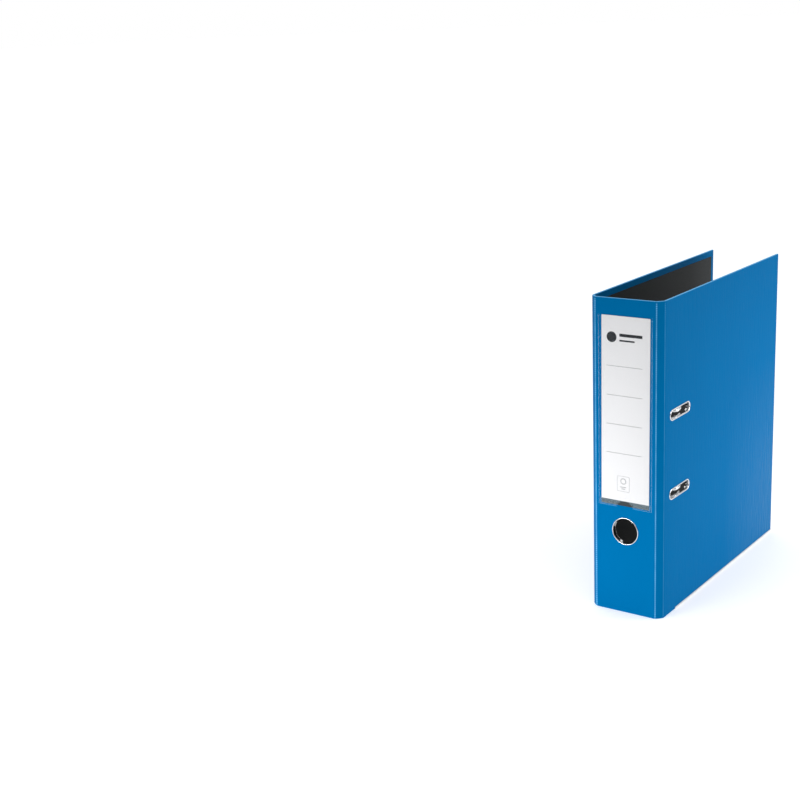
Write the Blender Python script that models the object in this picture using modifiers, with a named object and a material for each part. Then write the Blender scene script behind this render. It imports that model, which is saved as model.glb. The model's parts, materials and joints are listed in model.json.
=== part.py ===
"""Lever arch file for A4 paper: two covers and a spine of film-covered board, and a lever arch mechanism.

The file stands closed on its bottom edges. +Z is up, the spine faces -Y and the front cover, the one with the
two arch slots, is on +X. The mechanism is riveted to the inner face of the rear cover, at -X.
Three measures are used throughout: u runs from the inner face of the rear cover towards the front cover (+X),
v runs from the outer face of the spine into the file (+Y), and z is the height. The origin is the middle of
the base.
"""

import math

import bmesh
import bpy
from mathutils import Matrix, Vector

MM = 0.001
GAP = 0.3 * MM

# Case
HEIGHT = 318 * MM
WIDTH = 77 * MM
DEPTH = 284.2 * MM
BOARD = 2.4 * MM
CHAMFER = 6.2 * MM
CREASE = 0.65 * MM
EDGE_ROUND = 0.35 * MM
LINING = 0.25 * MM
LINING_LIFT = 0.25 * MM
LINING_INSET = 6.5 * MM
LINING_FORE_INSET = 6.5 * MM
POCKET_PROUD = 0.85 * MM

HALF = WIDTH / 2
SPINE_Y = -(DEPTH - POCKET_PROUD) / 2
REAR_INNER = -(HALF - BOARD)
FRONT_INNER = HALF - BOARD
MITRE = BOARD / 2 * math.tan(math.radians(22.5))
SPINE_PIVOT_X = HALF - CHAMFER - MITRE
SPINE_PIVOT_V = BOARD / 2
COVER_PIVOT_X = HALF - BOARD / 2
COVER_PIVOT_V = CHAMFER + MITRE

# Metal shoe on the bottom edge of each cover
SHOE_START = 32 * MM
SHOE_METAL = 0.3 * MM
SHOE_CLEAR = 0.15 * MM
SHOE_HEIGHT = 2.2 * MM
SHOE_RECESS = 0.6 * MM

# Finger ring in the spine
RING_Z = 86 * MM
RING_OUTER = 15 * MM
RING_BORE = 12.5 * MM
RING_COLLAR = 13.3 * MM
RING_HOLE = 13.7 * MM

# Label pocket on the spine
POCKET_WIDTH = 57 * MM
POCKET_BOTTOM = 110.5 * MM
POCKET_TOP = 301.5 * MM
POCKET_SEAM = 1.5 * MM
POCKET_FILM = 0.2 * MM
LABEL_WIDTH = 53 * MM
NOTCH_RADIUS = 8.7 * MM
NOTCH_RISE = 6.6 * MM

# Arch slots in the front cover
MECHANISM_Z = 164 * MM
HOLE_PITCH = 80 * MM
SLOT_V = 39.5 * MM
SLOT_LENGTH = 41.4 * MM
SLOT_HEIGHT = 7.8 * MM
SLOT_WALL = 0.6 * MM
SLOT_RIM = 2.2 * MM
SLOT_WASHER_RIM = 1.4 * MM

# Mechanism
PLATE_BOTTOM = 0.8 * MM
PLATE_TOP = 1.8 * MM
PLATE_V = (10.5 * MM, 59.5 * MM)
PLATE_Z = (104 * MM, 258 * MM)
RIVET_V = (16 * MM, 53 * MM)
RIVET_Z = (110.5 * MM, 251.5 * MM)
RIVET_SHANK = 1.9 * MM
POST_V = 53 * MM
POST_RADIUS = 2.1 * MM
POST_TOP = 48 * MM
ARCH_END = 48.5 * MM
WIRE = 2 * MM
AXLE_V = 34.5 * MM
AXLE_U = 5 * MM
ARCH_RADIUS = 66 * MM
ARCH_LEG_BEND = 8 * MM
ARCH_POST_BEND = 7 * MM
CRANK = 16 * MM
CRANK_ANGLE = math.radians(24)
SADDLES = ((136, 143), (185, 192), (208.5, 213.5), (241.5, 247))
SADDLE_TOP = 8.6 * MM
SADDLE_HALF = 3.6 * MM

# Lever
PIVOT_Z = 230 * MM
ROLLER = 2.8 * MM
ROLLER_ARM = 4.6 * MM
ROLLER_ANGLE = math.radians(20)
ROLLER_REST_GAP = 1.5 * MM
PIN = 1.4 * MM
ROLLER_PIN = 1.0 * MM
LEVER_LENGTH = 54 * MM
LEVER_V = 19.2 * MM
LEVER_INNER = 4.8 * MM
SHEET = 1.0 * MM
LUG = 4.5 * MM
ROLLER_U = AXLE_U + CRANK * math.sin(CRANK_ANGLE) + WIRE + ROLLER_REST_GAP + ROLLER
PIVOT_U = ROLLER_U - ROLLER_ARM * math.sin(ROLLER_ANGLE)
ROLLER_Z = PIVOT_Z - ROLLER_ARM * math.cos(ROLLER_ANGLE)

# Paper compressor
BAR_U = 10 * MM
BAR_SHEET = 1.2 * MM
BAR_V = (26 * MM, 60 * MM)
BAR_Z = (112 * MM, 214 * MM)

X_AXIS = Vector((1, 0, 0))
Y_AXIS = Vector((0, 1, 0))
Z_AXIS = Vector((0, 0, 1))


def place(u, v, z):
    """World point at u from the rear cover's inner face, v from the spine's outer face, z up."""
    return Vector((REAR_INNER + u, SPINE_Y + v, z))


def clear_scene():
    for item in list(bpy.data.objects):
        bpy.data.objects.remove(item, do_unlink=True)


def new_collection(name):
    collection = bpy.data.collections.new(name)
    bpy.context.scene.collection.children.link(collection)
    return collection


def new_material(name, colour, roughness, metallic, alpha=1.0):
    material = bpy.data.materials.new(name)
    material.use_nodes = True
    shader = material.node_tree.nodes["Principled BSDF"]
    shader.inputs["Base Color"].default_value = (*colour, 1.0)
    shader.inputs["Roughness"].default_value = roughness
    shader.inputs["Metallic"].default_value = metallic
    shader.inputs["Alpha"].default_value = alpha
    return material


class Workshop:
    """Holds the two collections, the materials and the joint empties, and makes the basic shapes."""

    def __init__(self):
        self.parts = new_collection("lever_arch_file")
        self.cutters = new_collection("cutters")
        self.materials = {
            "film": new_material("blue_film", (0.0, 0.18, 0.46), 0.28, 0.0),
            "lining": new_material("dark_lining", (0.035, 0.04, 0.042), 0.7, 0.0),
            "chrome": new_material("chrome", (0.82, 0.83, 0.84), 0.08, 1.0),
            "steel": new_material("plated_steel", (0.62, 0.63, 0.64), 0.25, 1.0),
            "shoe": new_material("shoe_steel", (0.7, 0.71, 0.72), 0.3, 1.0),
            "pocket": new_material("clear_film", (0.9, 0.92, 0.94), 0.15, 0.0, 0.35),
            "label": new_material("label_card", (0.86, 0.87, 0.88), 0.7, 0.0),
        }
        self.empties = {}

    def add(self, name, mesh, material):
        """A named part from a mesh whose points are in world coordinates."""
        item = bpy.data.objects.new(name, mesh)
        self.parts.objects.link(item)
        item.data.materials.clear()
        item.data.materials.append(self.materials[material])
        return item

    def cutter(self, name, mesh):
        item = bpy.data.objects.new(name, mesh)
        self.cutters.objects.link(item)
        item.hide_render = True
        item.display_type = "WIRE"
        return item

    def axis(self, name, location, parent=None):
        """An empty on a joint's axis."""
        empty = bpy.data.objects.new(name, None)
        empty.empty_display_size = 10 * MM
        self.parts.objects.link(empty)
        empty.location = location
        if parent is not None:
            empty.parent = self.empties[parent][0]
            empty.location = location - self.empties[parent][1]
        self.empties[name] = (empty, Vector(location))
        return empty

    def hang(self, axis_name, *items):
        """Parents pieces to the empty on their joint's axis, without moving them."""
        empty, point = self.empties[axis_name]
        for item in items:
            item.parent = empty
            item.location = item.location - point


def mesh_from(name, bm):
    bmesh.ops.recalc_face_normals(bm, faces=bm.faces)
    mesh = bpy.data.meshes.new(name)
    bm.to_mesh(mesh)
    bm.free()
    return mesh


def smooth(mesh, degrees=35):
    mesh.shade_smooth()
    mesh.set_sharp_from_angle(angle=math.radians(degrees))
    return mesh


def box_mesh(name, low, high):
    """A box between two world corners."""
    low = Vector(low)
    high = Vector(high)
    bm = bmesh.new()
    bmesh.ops.create_cube(bm, size=1.0)
    bmesh.ops.scale(bm, vec=high - low, verts=bm.verts)
    bmesh.ops.translate(bm, vec=(low + high) / 2, verts=bm.verts)
    return mesh_from(name, bm)


def uvz_box(name, u_range, v_range, z_range):
    return box_mesh(name, place(u_range[0], v_range[0], z_range[0]), place(u_range[1], v_range[1], z_range[1]))


def rod_mesh(name, start, end, radius, segments=24):
    """A plain cylinder from one point to another."""
    start = Vector(start)
    end = Vector(end)
    length = (end - start).length
    turn = Z_AXIS.rotation_difference(end - start).to_matrix().to_4x4()
    bm = bmesh.new()
    bmesh.ops.create_cone(bm, cap_ends=True, segments=segments, radius1=radius, radius2=radius, depth=length)
    bmesh.ops.transform(bm, matrix=Matrix.Translation((start + end) / 2) @ turn, verts=bm.verts)
    return smooth(mesh_from(name, bm))


def arc(centre, radius, start, end, steps):
    """Points on a circle, from one angle to another in degrees."""
    points = []
    for i in range(steps + 1):
        angle = math.radians(start + (end - start) * i / steps)
        points.append((centre[0] + radius * math.cos(angle), centre[1] + radius * math.sin(angle)))
    return points


def rounded_outline(length, height, radius, steps=8):
    """A rectangle with round corners, centred on the origin."""
    x = length / 2 - radius
    y = height / 2 - radius
    points = []
    for corner, start in (((x, y), 0), ((-x, y), 90), ((-x, -y), 180), ((x, -y), 270)):
        points += arc(corner, radius, start, start + 90, steps)
    return points


def sheet_mesh(name, outlines, thickness, centre, across, up):
    """A flat outline, with holes as further outlines, given a thickness; centre is the middle of the thickness."""
    curve = bpy.data.curves.new(name, "CURVE")
    curve.dimensions = "2D"
    curve.fill_mode = "BOTH"
    curve.extrude = thickness / 2
    for outline in outlines:
        spline = curve.splines.new("POLY")
        spline.points.add(len(outline) - 1)
        for point, (x, y) in zip(spline.points, outline):
            point.co = (x, y, 0, 1)
        spline.use_cyclic_u = True
    normal = across.cross(up)
    turn = Matrix((across, up, normal)).transposed().to_4x4()
    return mesh_from_curve(name, curve, Matrix.Translation(centre) @ turn)


def mesh_from_curve(name, curve, matrix):
    """The curve's mesh with its caps welded, moved by matrix."""
    holder = bpy.data.objects.new(name, curve)
    bpy.context.scene.collection.objects.link(holder)
    bpy.context.view_layer.update()
    raw = bpy.data.meshes.new_from_object(holder.evaluated_get(bpy.context.evaluated_depsgraph_get()))
    bpy.data.objects.remove(holder)
    bm = bmesh.new()
    bm.from_mesh(raw)
    bpy.data.meshes.remove(raw)
    bmesh.ops.remove_doubles(bm, verts=bm.verts, dist=0.00001)
    bmesh.ops.transform(bm, matrix=matrix, verts=bm.verts)
    return smooth(mesh_from(name, bm))


def wire_mesh(name, points, radius):
    """A round wire through world points."""
    curve = bpy.data.curves.new(name, "CURVE")
    curve.dimensions = "3D"
    curve.bevel_depth = radius
    curve.bevel_resolution = 4
    curve.use_fill_caps = True
    spline = curve.splines.new("POLY")
    spline.points.add(len(points) - 1)
    for point, co in zip(spline.points, points):
        point.co = (*co, 1)
    return mesh_from_curve(name, curve, Matrix.Identity(4))


def turned(shop, name, profile, centre, direction, material, steps=32, closed=False):
    """A turned piece. The profile is (radius, height) pairs, down its outer side; closed makes it a ring."""
    bm = bmesh.new()
    verts = [bm.verts.new((radius, 0, height)) for radius, height in profile]
    for first, second in zip(verts, verts[1:]):
        bm.edges.new((first, second))
    if closed:
        bm.edges.new((verts[-1], verts[0]))
    mesh = bpy.data.meshes.new(name)
    bm.to_mesh(mesh)
    bm.free()
    item = shop.add(name, mesh, material)
    item.rotation_euler = Z_AXIS.rotation_difference(direction).to_euler()
    item.location = centre
    screw = item.modifiers.new("Turn", "SCREW")
    screw.axis = "Z"
    screw.steps = steps
    screw.render_steps = steps
    screw.use_merge_vertices = True
    screw.merge_threshold = 0.00001
    screw.use_smooth_shade = True
    return item


def boolean(item, other, operation="DIFFERENCE"):
    modifier = item.modifiers.new(operation.title() + " " + other.name, "BOOLEAN")
    modifier.object = other
    modifier.operation = operation
    modifier.solver = "EXACT"


def round_edges(item, width):
    bevel = item.modifiers.new("Round edges", "BEVEL")
    bevel.width = width
    bevel.segments = 2
    bevel.limit_method = "ANGLE"


# ---------------------------------------------------------------- case


def board(shop, name, low, high):
    item = shop.add(name, box_mesh(name, low, high), "film")
    round_edges(item, EDGE_ROUND)
    return item


def shoe_recess(shop, item, side):
    """The board's bottom edge is set back where the metal shoe goes round it."""
    low = Vector((side * COVER_PIVOT_X - 2 * BOARD, SPINE_Y + SHOE_START - GAP, -BOARD))
    high = Vector((side * COVER_PIVOT_X + 2 * BOARD, SPINE_Y + DEPTH + BOARD, SHOE_RECESS))
    boolean(item, shop.cutter(item.name + "_recess", box_mesh("recess", low, high)))


def cover_boards(shop):
    """Rear cover board at -X and front cover board at +X."""
    covers = []
    for name, side in (("rear_cover_board", -1), ("front_cover_board", 1)):
        xs = sorted((side * HALF, side * (HALF - BOARD)))
        low = Vector((xs[0], SPINE_Y + COVER_PIVOT_V + CREASE, 0))
        high = Vector((xs[1], SPINE_Y + DEPTH, HEIGHT))
        item = board(shop, name, low, high)
        shoe_recess(shop, item, side)
        covers.append(item)
    return covers


def spine_board(shop):
    half = SPINE_PIVOT_X - CREASE
    item = board(shop, "spine_board", (-half, SPINE_Y, 0), (half, SPINE_Y + BOARD, HEIGHT))
    bore(shop, item, (0, SPINE_Y - BOARD, RING_Z), (0, SPINE_Y + 2 * BOARD, RING_Z), RING_HOLE, 48)
    return item


def hinge_strips(shop):
    """The two narrow boards between spine and covers, at 45 degrees when the file is closed."""
    strips = []
    for name, side in (("rear_hinge_strip", -1), ("front_hinge_strip", 1)):
        start = Vector((side * SPINE_PIVOT_X, SPINE_Y + SPINE_PIVOT_V, 0))
        end = Vector((side * COVER_PIVOT_X, SPINE_Y + COVER_PIVOT_V, 0))
        length = (end - start).length - 2 * CREASE
        mesh = box_mesh(name, (-length / 2, -BOARD / 2, 0), (length / 2, BOARD / 2, HEIGHT))
        item = shop.add(name, mesh, "film")
        item.location = (start + end) / 2
        item.rotation_euler = (0, 0, side * math.radians(45))
        round_edges(item, EDGE_ROUND)
        strips.append(item)
    return strips


def bore(shop, item, start, end, radius, segments=24):
    """Cuts a round hole from start to end."""
    name = item.name + "_bore_" + str(len(item.modifiers))
    boolean(item, shop.cutter(name, rod_mesh("bore", start, end, radius, segments)))


def linings(shop):
    """Paper lining glued to the inner faces of the rear cover, the spine and the front cover."""
    z_range = (LINING_INSET, HEIGHT - LINING_INSET)
    v_range = (COVER_PIVOT_V + 1.8 * MM, DEPTH - LINING_FORE_INSET)
    inner = 2 * FRONT_INNER
    rear = shop.add(
        "rear_lining", uvz_box("rear_lining", (LINING_LIFT, LINING_LIFT + LINING), v_range, z_range), "lining"
    )
    front_u = (inner - LINING_LIFT - LINING, inner - LINING_LIFT)
    front = shop.add("front_lining", uvz_box("front_lining", front_u, v_range, z_range), "lining")
    half = SPINE_PIVOT_X - 1.8 * MM
    near = SPINE_Y + BOARD + LINING_LIFT
    low = (-half, near, z_range[0])
    high = (half, near + LINING, z_range[1])
    spine = shop.add("spine_lining", box_mesh("spine_lining", low, high), "lining")
    bore(shop, spine, (0, SPINE_Y, RING_Z), (0, SPINE_Y + 3 * BOARD, RING_Z), RING_HOLE, 48)
    return rear, front, spine


def edge_shoe(shop, name, side):
    """A folded metal channel on the bottom edge of a cover."""
    inner = HALF - BOARD - SHOE_CLEAR
    outer = HALF + SHOE_CLEAR
    ends = (SPINE_Y + SHOE_START, SPINE_Y + DEPTH)
    xs = sorted((side * (inner - SHOE_METAL), side * (outer + SHOE_METAL)))
    item = shop.add(name, box_mesh(name, (xs[0], ends[0], 0), (xs[1], ends[1], SHOE_HEIGHT)), "shoe")
    xs = sorted((side * inner, side * outer))
    low = (xs[0], ends[0] - BOARD, SHOE_METAL)
    high = (xs[1], ends[1] + BOARD, 2 * SHOE_HEIGHT)
    boolean(item, shop.cutter(name + "_channel", box_mesh("channel", low, high)))
    return item


def finger_ring(shop):
    """Ring pressed into the spine's finger hole, and the washer behind it. Heights run outwards from the spine."""
    centre = (0, SPINE_Y, RING_Z)
    lip = RING_BORE + 0.2 * MM
    ring_profile = [
        (RING_COLLAR + 0.1 * MM, 0.85 * MM),
        (RING_OUTER - 0.6 * MM, 0.75 * MM),
        (RING_OUTER, 0.4 * MM),
        (RING_OUTER, 0.12 * MM),
        (RING_COLLAR, 0.12 * MM),
        (RING_COLLAR, -4.4 * MM),
        (RING_BORE, -4.4 * MM),
        (RING_BORE, 0.1 * MM),
        (lip, 0.6 * MM),
    ]
    ring = turned(shop, "finger_ring", ring_profile, centre, -Y_AXIS, "chrome", 48, closed=True)
    top = -(BOARD + LINING_LIFT + LINING + 0.15 * MM)
    washer_profile = [
        (RING_OUTER + 1.2 * MM, top),
        (RING_OUTER + 1.2 * MM, top - 0.5 * MM),
        (RING_HOLE, top - 0.5 * MM),
        (RING_HOLE, top),
    ]
    washer = turned(shop, "finger_ring_washer", washer_profile, centre, -Y_AXIS, "chrome", 48, closed=True)
    return ring, washer


def label_pocket(shop):
    """Clear pocket welded on the spine, open at the top, and the label card inside it."""
    half = POCKET_WIDTH / 2
    floor = POCKET_BOTTOM + POCKET_SEAM
    front = SPINE_Y - POCKET_PROUD
    low = (-half, front, POCKET_BOTTOM)
    high = (half, SPINE_Y - 0.15 * MM, POCKET_TOP)
    pocket = shop.add("label_pocket", box_mesh("label_pocket", low, high), "pocket")
    hollow_low = (-half + POCKET_SEAM, front + POCKET_FILM, floor)
    hollow_high = (half - POCKET_SEAM, SPINE_Y + GAP, POCKET_TOP + GAP)
    boolean(pocket, shop.cutter("pocket_hollow", box_mesh("pocket_hollow", hollow_low, hollow_high)))
    notch_z = POCKET_BOTTOM + NOTCH_RISE - NOTCH_RADIUS
    bore(shop, pocket, (0, SPINE_Y - 3 * MM, notch_z), (0, SPINE_Y + GAP, notch_z), NOTCH_RADIUS, 48)
    half = LABEL_WIDTH / 2
    low = (-half, SPINE_Y - 0.55 * MM, floor + GAP)
    high = (half, SPINE_Y - 0.3 * MM, POCKET_TOP - GAP)
    label = shop.add("label_card", box_mesh("label_card", low, high), "label")
    return pocket, label


def slot_sheet(name, length, height, x_range, z):
    """A flat oval with its long way along v, between two x planes."""
    centre = Vector((sum(x_range) / 2, SPINE_Y + SLOT_V, z))
    outline = rounded_outline(length, height, height / 2 - 0.01 * MM, 6)
    return sheet_mesh(name, [outline], x_range[1] - x_range[0], centre, Y_AXIS, Z_AXIS)


def arch_slot(shop, level, z, front_board, front_lining):
    """One slot through the front cover: the eyelet from outside and its washer on the lining."""
    lined = FRONT_INNER - LINING_LIFT - LINING
    washer_x = (lined - 0.5 * MM, lined - 0.15 * MM)
    collar_size = (SLOT_LENGTH + 2 * SLOT_WALL, SLOT_HEIGHT + 2 * SLOT_WALL)
    hole_size = (collar_size[0] + 2 * GAP, collar_size[1] + 2 * GAP)
    through = (lined - 2 * MM, HALF + 2 * MM)
    for item in (front_board, front_lining):
        boolean(item, shop.cutter(item.name + "_slot_" + level, slot_sheet("slot", *hole_size, through, z)))
    rim_size = (SLOT_LENGTH + 2 * SLOT_RIM, SLOT_HEIGHT + 2 * SLOT_RIM)
    rim_x = (HALF + 0.1 * MM, HALF + 0.6 * MM)
    name = "slot_eyelet_" + level
    eyelet = shop.add(name, slot_sheet(name, *rim_size, rim_x, z), "chrome")
    collar_x = (washer_x[0] - 0.1 * MM, rim_x[0] + 0.2 * MM)
    collar = shop.cutter("eyelet_collar_" + level, slot_sheet("collar", *collar_size, collar_x, z))
    boolean(eyelet, collar, "UNION")
    opening = shop.cutter("eyelet_opening_" + level, slot_sheet("opening", SLOT_LENGTH, SLOT_HEIGHT, through, z))
    boolean(eyelet, opening)
    name = "slot_washer_" + level
    size = (hole_size[0] + 2 * SLOT_WASHER_RIM, hole_size[1] + 2 * SLOT_WASHER_RIM)
    washer = shop.add(name, slot_sheet(name, *size, washer_x, z), "steel")
    boolean(washer, shop.cutter("washer_hole_" + level, slot_sheet("hole", *hole_size, through, z)))
    return eyelet, washer


# ---------------------------------------------------------------- mechanism


def cheek(shop, name, v_range, operation_target):
    """A lug for the lever's pin: a tongue bent up from the plate with a round end."""
    tongue = shop.cutter(
        name, uvz_box(name, (PLATE_TOP - 0.5 * MM, PIVOT_U), v_range, (PIVOT_Z - LUG, PIVOT_Z + LUG))
    )
    boolean(operation_target, tongue, "UNION")
    ends = (place(PIVOT_U, v_range[0], PIVOT_Z), place(PIVOT_U, v_range[1], PIVOT_Z))
    boolean(operation_target, shop.cutter(name + "_end", rod_mesh(name, *ends, LUG, 32)), "UNION")


def base_plate(shop):
    """Steel plate on the rear cover, with the saddles that hold the arch wire and the lugs for the lever."""
    size = (PLATE_V[1] - PLATE_V[0], PLATE_Z[1] - PLATE_Z[0])
    centre = place((PLATE_BOTTOM + PLATE_TOP) / 2, sum(PLATE_V) / 2, sum(PLATE_Z) / 2)
    outline = rounded_outline(size[0], size[1], 4 * MM)
    mesh = sheet_mesh("base_plate", [outline], PLATE_TOP - PLATE_BOTTOM, centre, Y_AXIS, Z_AXIS)
    plate = shop.add("base_plate", mesh, "steel")
    for number, (low, high) in enumerate(SADDLES, 1):
        v_range = (AXLE_V - SADDLE_HALF, AXLE_V + SADDLE_HALF)
        name = "saddle_" + str(number)
        block = uvz_box(name, (PLATE_TOP - 0.5 * MM, SADDLE_TOP), v_range, (low * MM, high * MM))
        saddle = shop.cutter(name, block)
        round_edges(saddle, 0.8 * MM)
        boolean(plate, saddle, "UNION")
    outer = LEVER_INNER + SHEET + GAP
    cheek(shop, "lug_spine_side", (LEVER_V - outer - SHEET, LEVER_V - outer), plate)
    cheek(shop, "lug_post_side", (LEVER_V + outer, LEVER_V + outer + SHEET), plate)
    bore(shop, plate, place(AXLE_U, AXLE_V, 130 * MM), place(AXLE_U, AXLE_V, 252 * MM), WIRE + GAP)
    bore(shop, plate, place(PIVOT_U, 5 * MM, PIVOT_Z), place(PIVOT_U, 30 * MM, PIVOT_Z), PIN + GAP)
    for z in arch_heights():
        bore(shop, plate, place(0, POST_V, z), place(4 * MM, POST_V, z), POST_RADIUS + GAP)
    bore(shop, plate, place(0, *spring_rivet_place()), place(4 * MM, *spring_rivet_place()), 1.5 * MM)
    return plate


def arch_heights():
    return MECHANISM_Z - HOLE_PITCH / 2, MECHANISM_Z + HOLE_PITCH / 2


def cover_rivets(shop, plate, rear_board, rear_lining):
    """Four rivets through the rear cover, its lining and the plate, with their flat heads outside."""
    profile = [
        (0, PLATE_TOP + 1.1 * MM),
        (2.3 * MM, PLATE_TOP + 1.1 * MM),
        (3.1 * MM, PLATE_TOP + 0.6 * MM),
        (3.1 * MM, PLATE_TOP + GAP),
        (RIVET_SHANK, PLATE_TOP + GAP),
        (RIVET_SHANK, -BOARD - 0.12 * MM),
        (4.0 * MM, -BOARD - 0.12 * MM),
        (4.0 * MM, -BOARD - 0.35 * MM),
        (3.2 * MM, -BOARD - 0.6 * MM),
        (0, -BOARD - 0.6 * MM),
    ]
    rivets = []
    for z in RIVET_Z:
        for v in RIVET_V:
            name = "cover_rivet_" + str(len(rivets) + 1)
            rivets.append(turned(shop, name, profile, place(0, v, z), X_AXIS, "steel", 20))
            for item in (rear_board, rear_lining, plate):
                bore(shop, item, place(-2 * BOARD, v, z), place(4 * MM, v, z), RIVET_SHANK + GAP)
    return rivets


def posts(shop):
    """The two fixed posts that the paper's holes go over."""
    profile = [
        (0, POST_TOP),
        (1.2 * MM, POST_TOP),
        (POST_RADIUS, POST_TOP - 0.9 * MM),
        (POST_RADIUS, PLATE_TOP + 1.5 * MM),
        (3.8 * MM, PLATE_TOP + 1.3 * MM),
        (3.8 * MM, PLATE_TOP + GAP),
        (POST_RADIUS, PLATE_TOP + GAP),
        (POST_RADIUS, PLATE_BOTTOM + 0.15 * MM),
        (0, PLATE_BOTTOM + 0.15 * MM),
    ]
    made = []
    for level, z in zip(("lower", "upper"), arch_heights()):
        made.append(turned(shop, "post_" + level, profile, place(0, POST_V, z), X_AXIS, "chrome", 24))
    return made


def arch_points():
    """One arch in its plane as (v, u): up the leg, over on an arc about the axle, and down to the post."""
    leg_v = AXLE_V + ARCH_LEG_BEND
    leg_reach = ARCH_RADIUS - ARCH_LEG_BEND
    leg_u = AXLE_U + math.sqrt(leg_reach**2 - ARCH_LEG_BEND**2)
    post_v = POST_V - ARCH_POST_BEND
    post_reach = ARCH_RADIUS - ARCH_POST_BEND
    post_u = AXLE_U + math.sqrt(post_reach**2 - (post_v - AXLE_V) ** 2)
    leg_angle = math.degrees(math.atan2(leg_u - AXLE_U, ARCH_LEG_BEND))
    post_angle = math.degrees(math.atan2(post_u - AXLE_U, post_v - AXLE_V))
    points = [(AXLE_V, AXLE_U)]
    points += arc((leg_v, leg_u), ARCH_LEG_BEND, 180, leg_angle, 9)
    points += arc((AXLE_V, AXLE_U), ARCH_RADIUS, leg_angle, post_angle, 3)[1:-1]
    points += arc((post_v, post_u), ARCH_POST_BEND, post_angle, 0, 8)
    points.append((POST_V, ARCH_END))
    return points


def arch_wire(shop):
    """Both arches, the axle and the crank: one bent wire, with the upper arch welded on."""
    lower, upper = arch_heights()
    arch = arch_points()
    crank_v = AXLE_V - CRANK * math.cos(CRANK_ANGLE)
    crank_u = AXLE_U + CRANK * math.sin(CRANK_ANGLE)
    near, far = PIVOT_Z - 12 * MM, PIVOT_Z + 8 * MM
    points = [place(u, v, lower) for v, u in reversed(arch[1:])]
    bend = 4 * MM
    for v, z in arc((0, lower + bend), bend, -90, 0, 4):
        points.append(place(AXLE_U + bend - v, AXLE_V, z))
    points.append(place(AXLE_U, AXLE_V, near))
    points.append(place(crank_u, crank_v, near))
    points.append(place(crank_u, crank_v, far))
    points.append(place(AXLE_U, AXLE_V, far))
    points.append(place(AXLE_U, AXLE_V, far + 10.5 * MM))
    wire = shop.add("arch_wire", wire_mesh("arch_wire", points, WIRE), "chrome")
    second = wire_mesh("upper_arch", [place(u, v, upper) for v, u in arch], WIRE)
    boolean(wire, shop.cutter("upper_arch", second), "UNION")
    return wire


def spring_rivet_place():
    return 43 * MM, PIVOT_Z - 8 * MM


def leaf_spring(shop):
    """Flat spring riveted to the plate, which reaches under the crank."""
    low = PLATE_TOP + 0.25 * MM
    thick = 0.5 * MM
    rise = 1.4 * MM
    v_ends = (16 * MM, 31 * MM, 46 * MM)
    outline = [
        (v_ends[2], low),
        (v_ends[2], low + thick),
        (v_ends[1], low + thick),
        (v_ends[0], low + rise + thick),
        (v_ends[0], low + rise),
        (v_ends[1], low),
    ]
    rivet_v, rivet_z = spring_rivet_place()
    mesh = sheet_mesh("leaf_spring", [outline], 5 * MM, place(0, 0, rivet_z), Y_AXIS, X_AXIS)
    spring = shop.add("leaf_spring", mesh, "steel")
    bore(shop, spring, place(0, rivet_v, rivet_z), place(5 * MM, rivet_v, rivet_z), 1.5 * MM)
    profile = [
        (0, low + thick + 0.9 * MM),
        (1.4 * MM, low + thick + 0.9 * MM),
        (2.2 * MM, low + thick + 0.3 * MM),
        (2.2 * MM, low + thick + 0.15 * MM),
        (1.2 * MM, low + thick + 0.15 * MM),
        (1.2 * MM, PLATE_BOTTOM + 0.15 * MM),
        (0, PLATE_BOTTOM + 0.15 * MM),
    ]
    rivet = turned(shop, "spring_rivet", profile, place(0, rivet_v, rivet_z), X_AXIS, "steel", 16)
    return spring, rivet


def lever(shop):
    """Folded steel lever: two cheeks round the roller, a web on top and a wide finger tab at the end."""
    roller = (-ROLLER_ARM * math.cos(ROLLER_ANGLE), ROLLER_ARM * math.sin(ROLLER_ANGLE))
    boss = 4.2 * MM
    web_start = (roller[0], roller[1] + boss)
    web_end = (LEVER_LENGTH - 4 * MM, 3.8 * MM)
    outline = arc((0, 0), 4.0 * MM, -120, -50, 5)
    outline += [(14 * MM, -1.8 * MM), (48 * MM, 0.6 * MM), (LEVER_LENGTH, 1.4 * MM), (LEVER_LENGTH, 2.6 * MM)]
    outline.append(web_end)
    outline += arc(roller, boss, 90, 200, 8)
    centre = place(PIVOT_U, LEVER_V, PIVOT_Z)
    width = 2 * (LEVER_INNER + SHEET)
    item = shop.add("lever", sheet_mesh("lever", [outline], width, centre, Z_AXIS, X_AXIS), "steel")
    slope = (web_end[1] - web_start[1]) / (web_end[0] - web_start[0])
    reach = 12 * MM
    hollow = [
        (web_start[0] - reach, -reach),
        (LEVER_LENGTH + reach, -reach),
        (LEVER_LENGTH + reach, web_end[1] - SHEET - 0.3 * (reach + 4 * MM)),
        (web_end[0], web_end[1] - SHEET),
        (web_start[0], web_start[1] - SHEET),
        (web_start[0] - reach, web_start[1] - SHEET - slope * reach),
    ]
    hollow_mesh = sheet_mesh("lever_hollow", [hollow], 2 * LEVER_INNER, centre, Z_AXIS, X_AXIS)
    boolean(item, shop.cutter("lever_hollow", hollow_mesh))
    tab_size = (22 * MM, 11 * MM)
    tab_z = PIVOT_Z + LEVER_LENGTH - tab_size[1] / 2
    tab_u = PIVOT_U + 3.3 * MM
    tab = sheet_mesh(
        "finger_tab", [rounded_outline(*tab_size, 4 * MM)], SHEET, place(tab_u, LEVER_V, tab_z), Y_AXIS, Z_AXIS
    )
    boolean(item, shop.cutter("finger_tab", tab), "UNION")
    ends = (LEVER_V - width, LEVER_V + width)
    bore(shop, item, place(PIVOT_U, ends[0], PIVOT_Z), place(PIVOT_U, ends[1], PIVOT_Z), PIN + GAP)
    bore(shop, item, place(ROLLER_U, ends[0], ROLLER_Z), place(ROLLER_U, ends[1], ROLLER_Z), ROLLER_PIN + 0.25 * MM)
    return item


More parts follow.
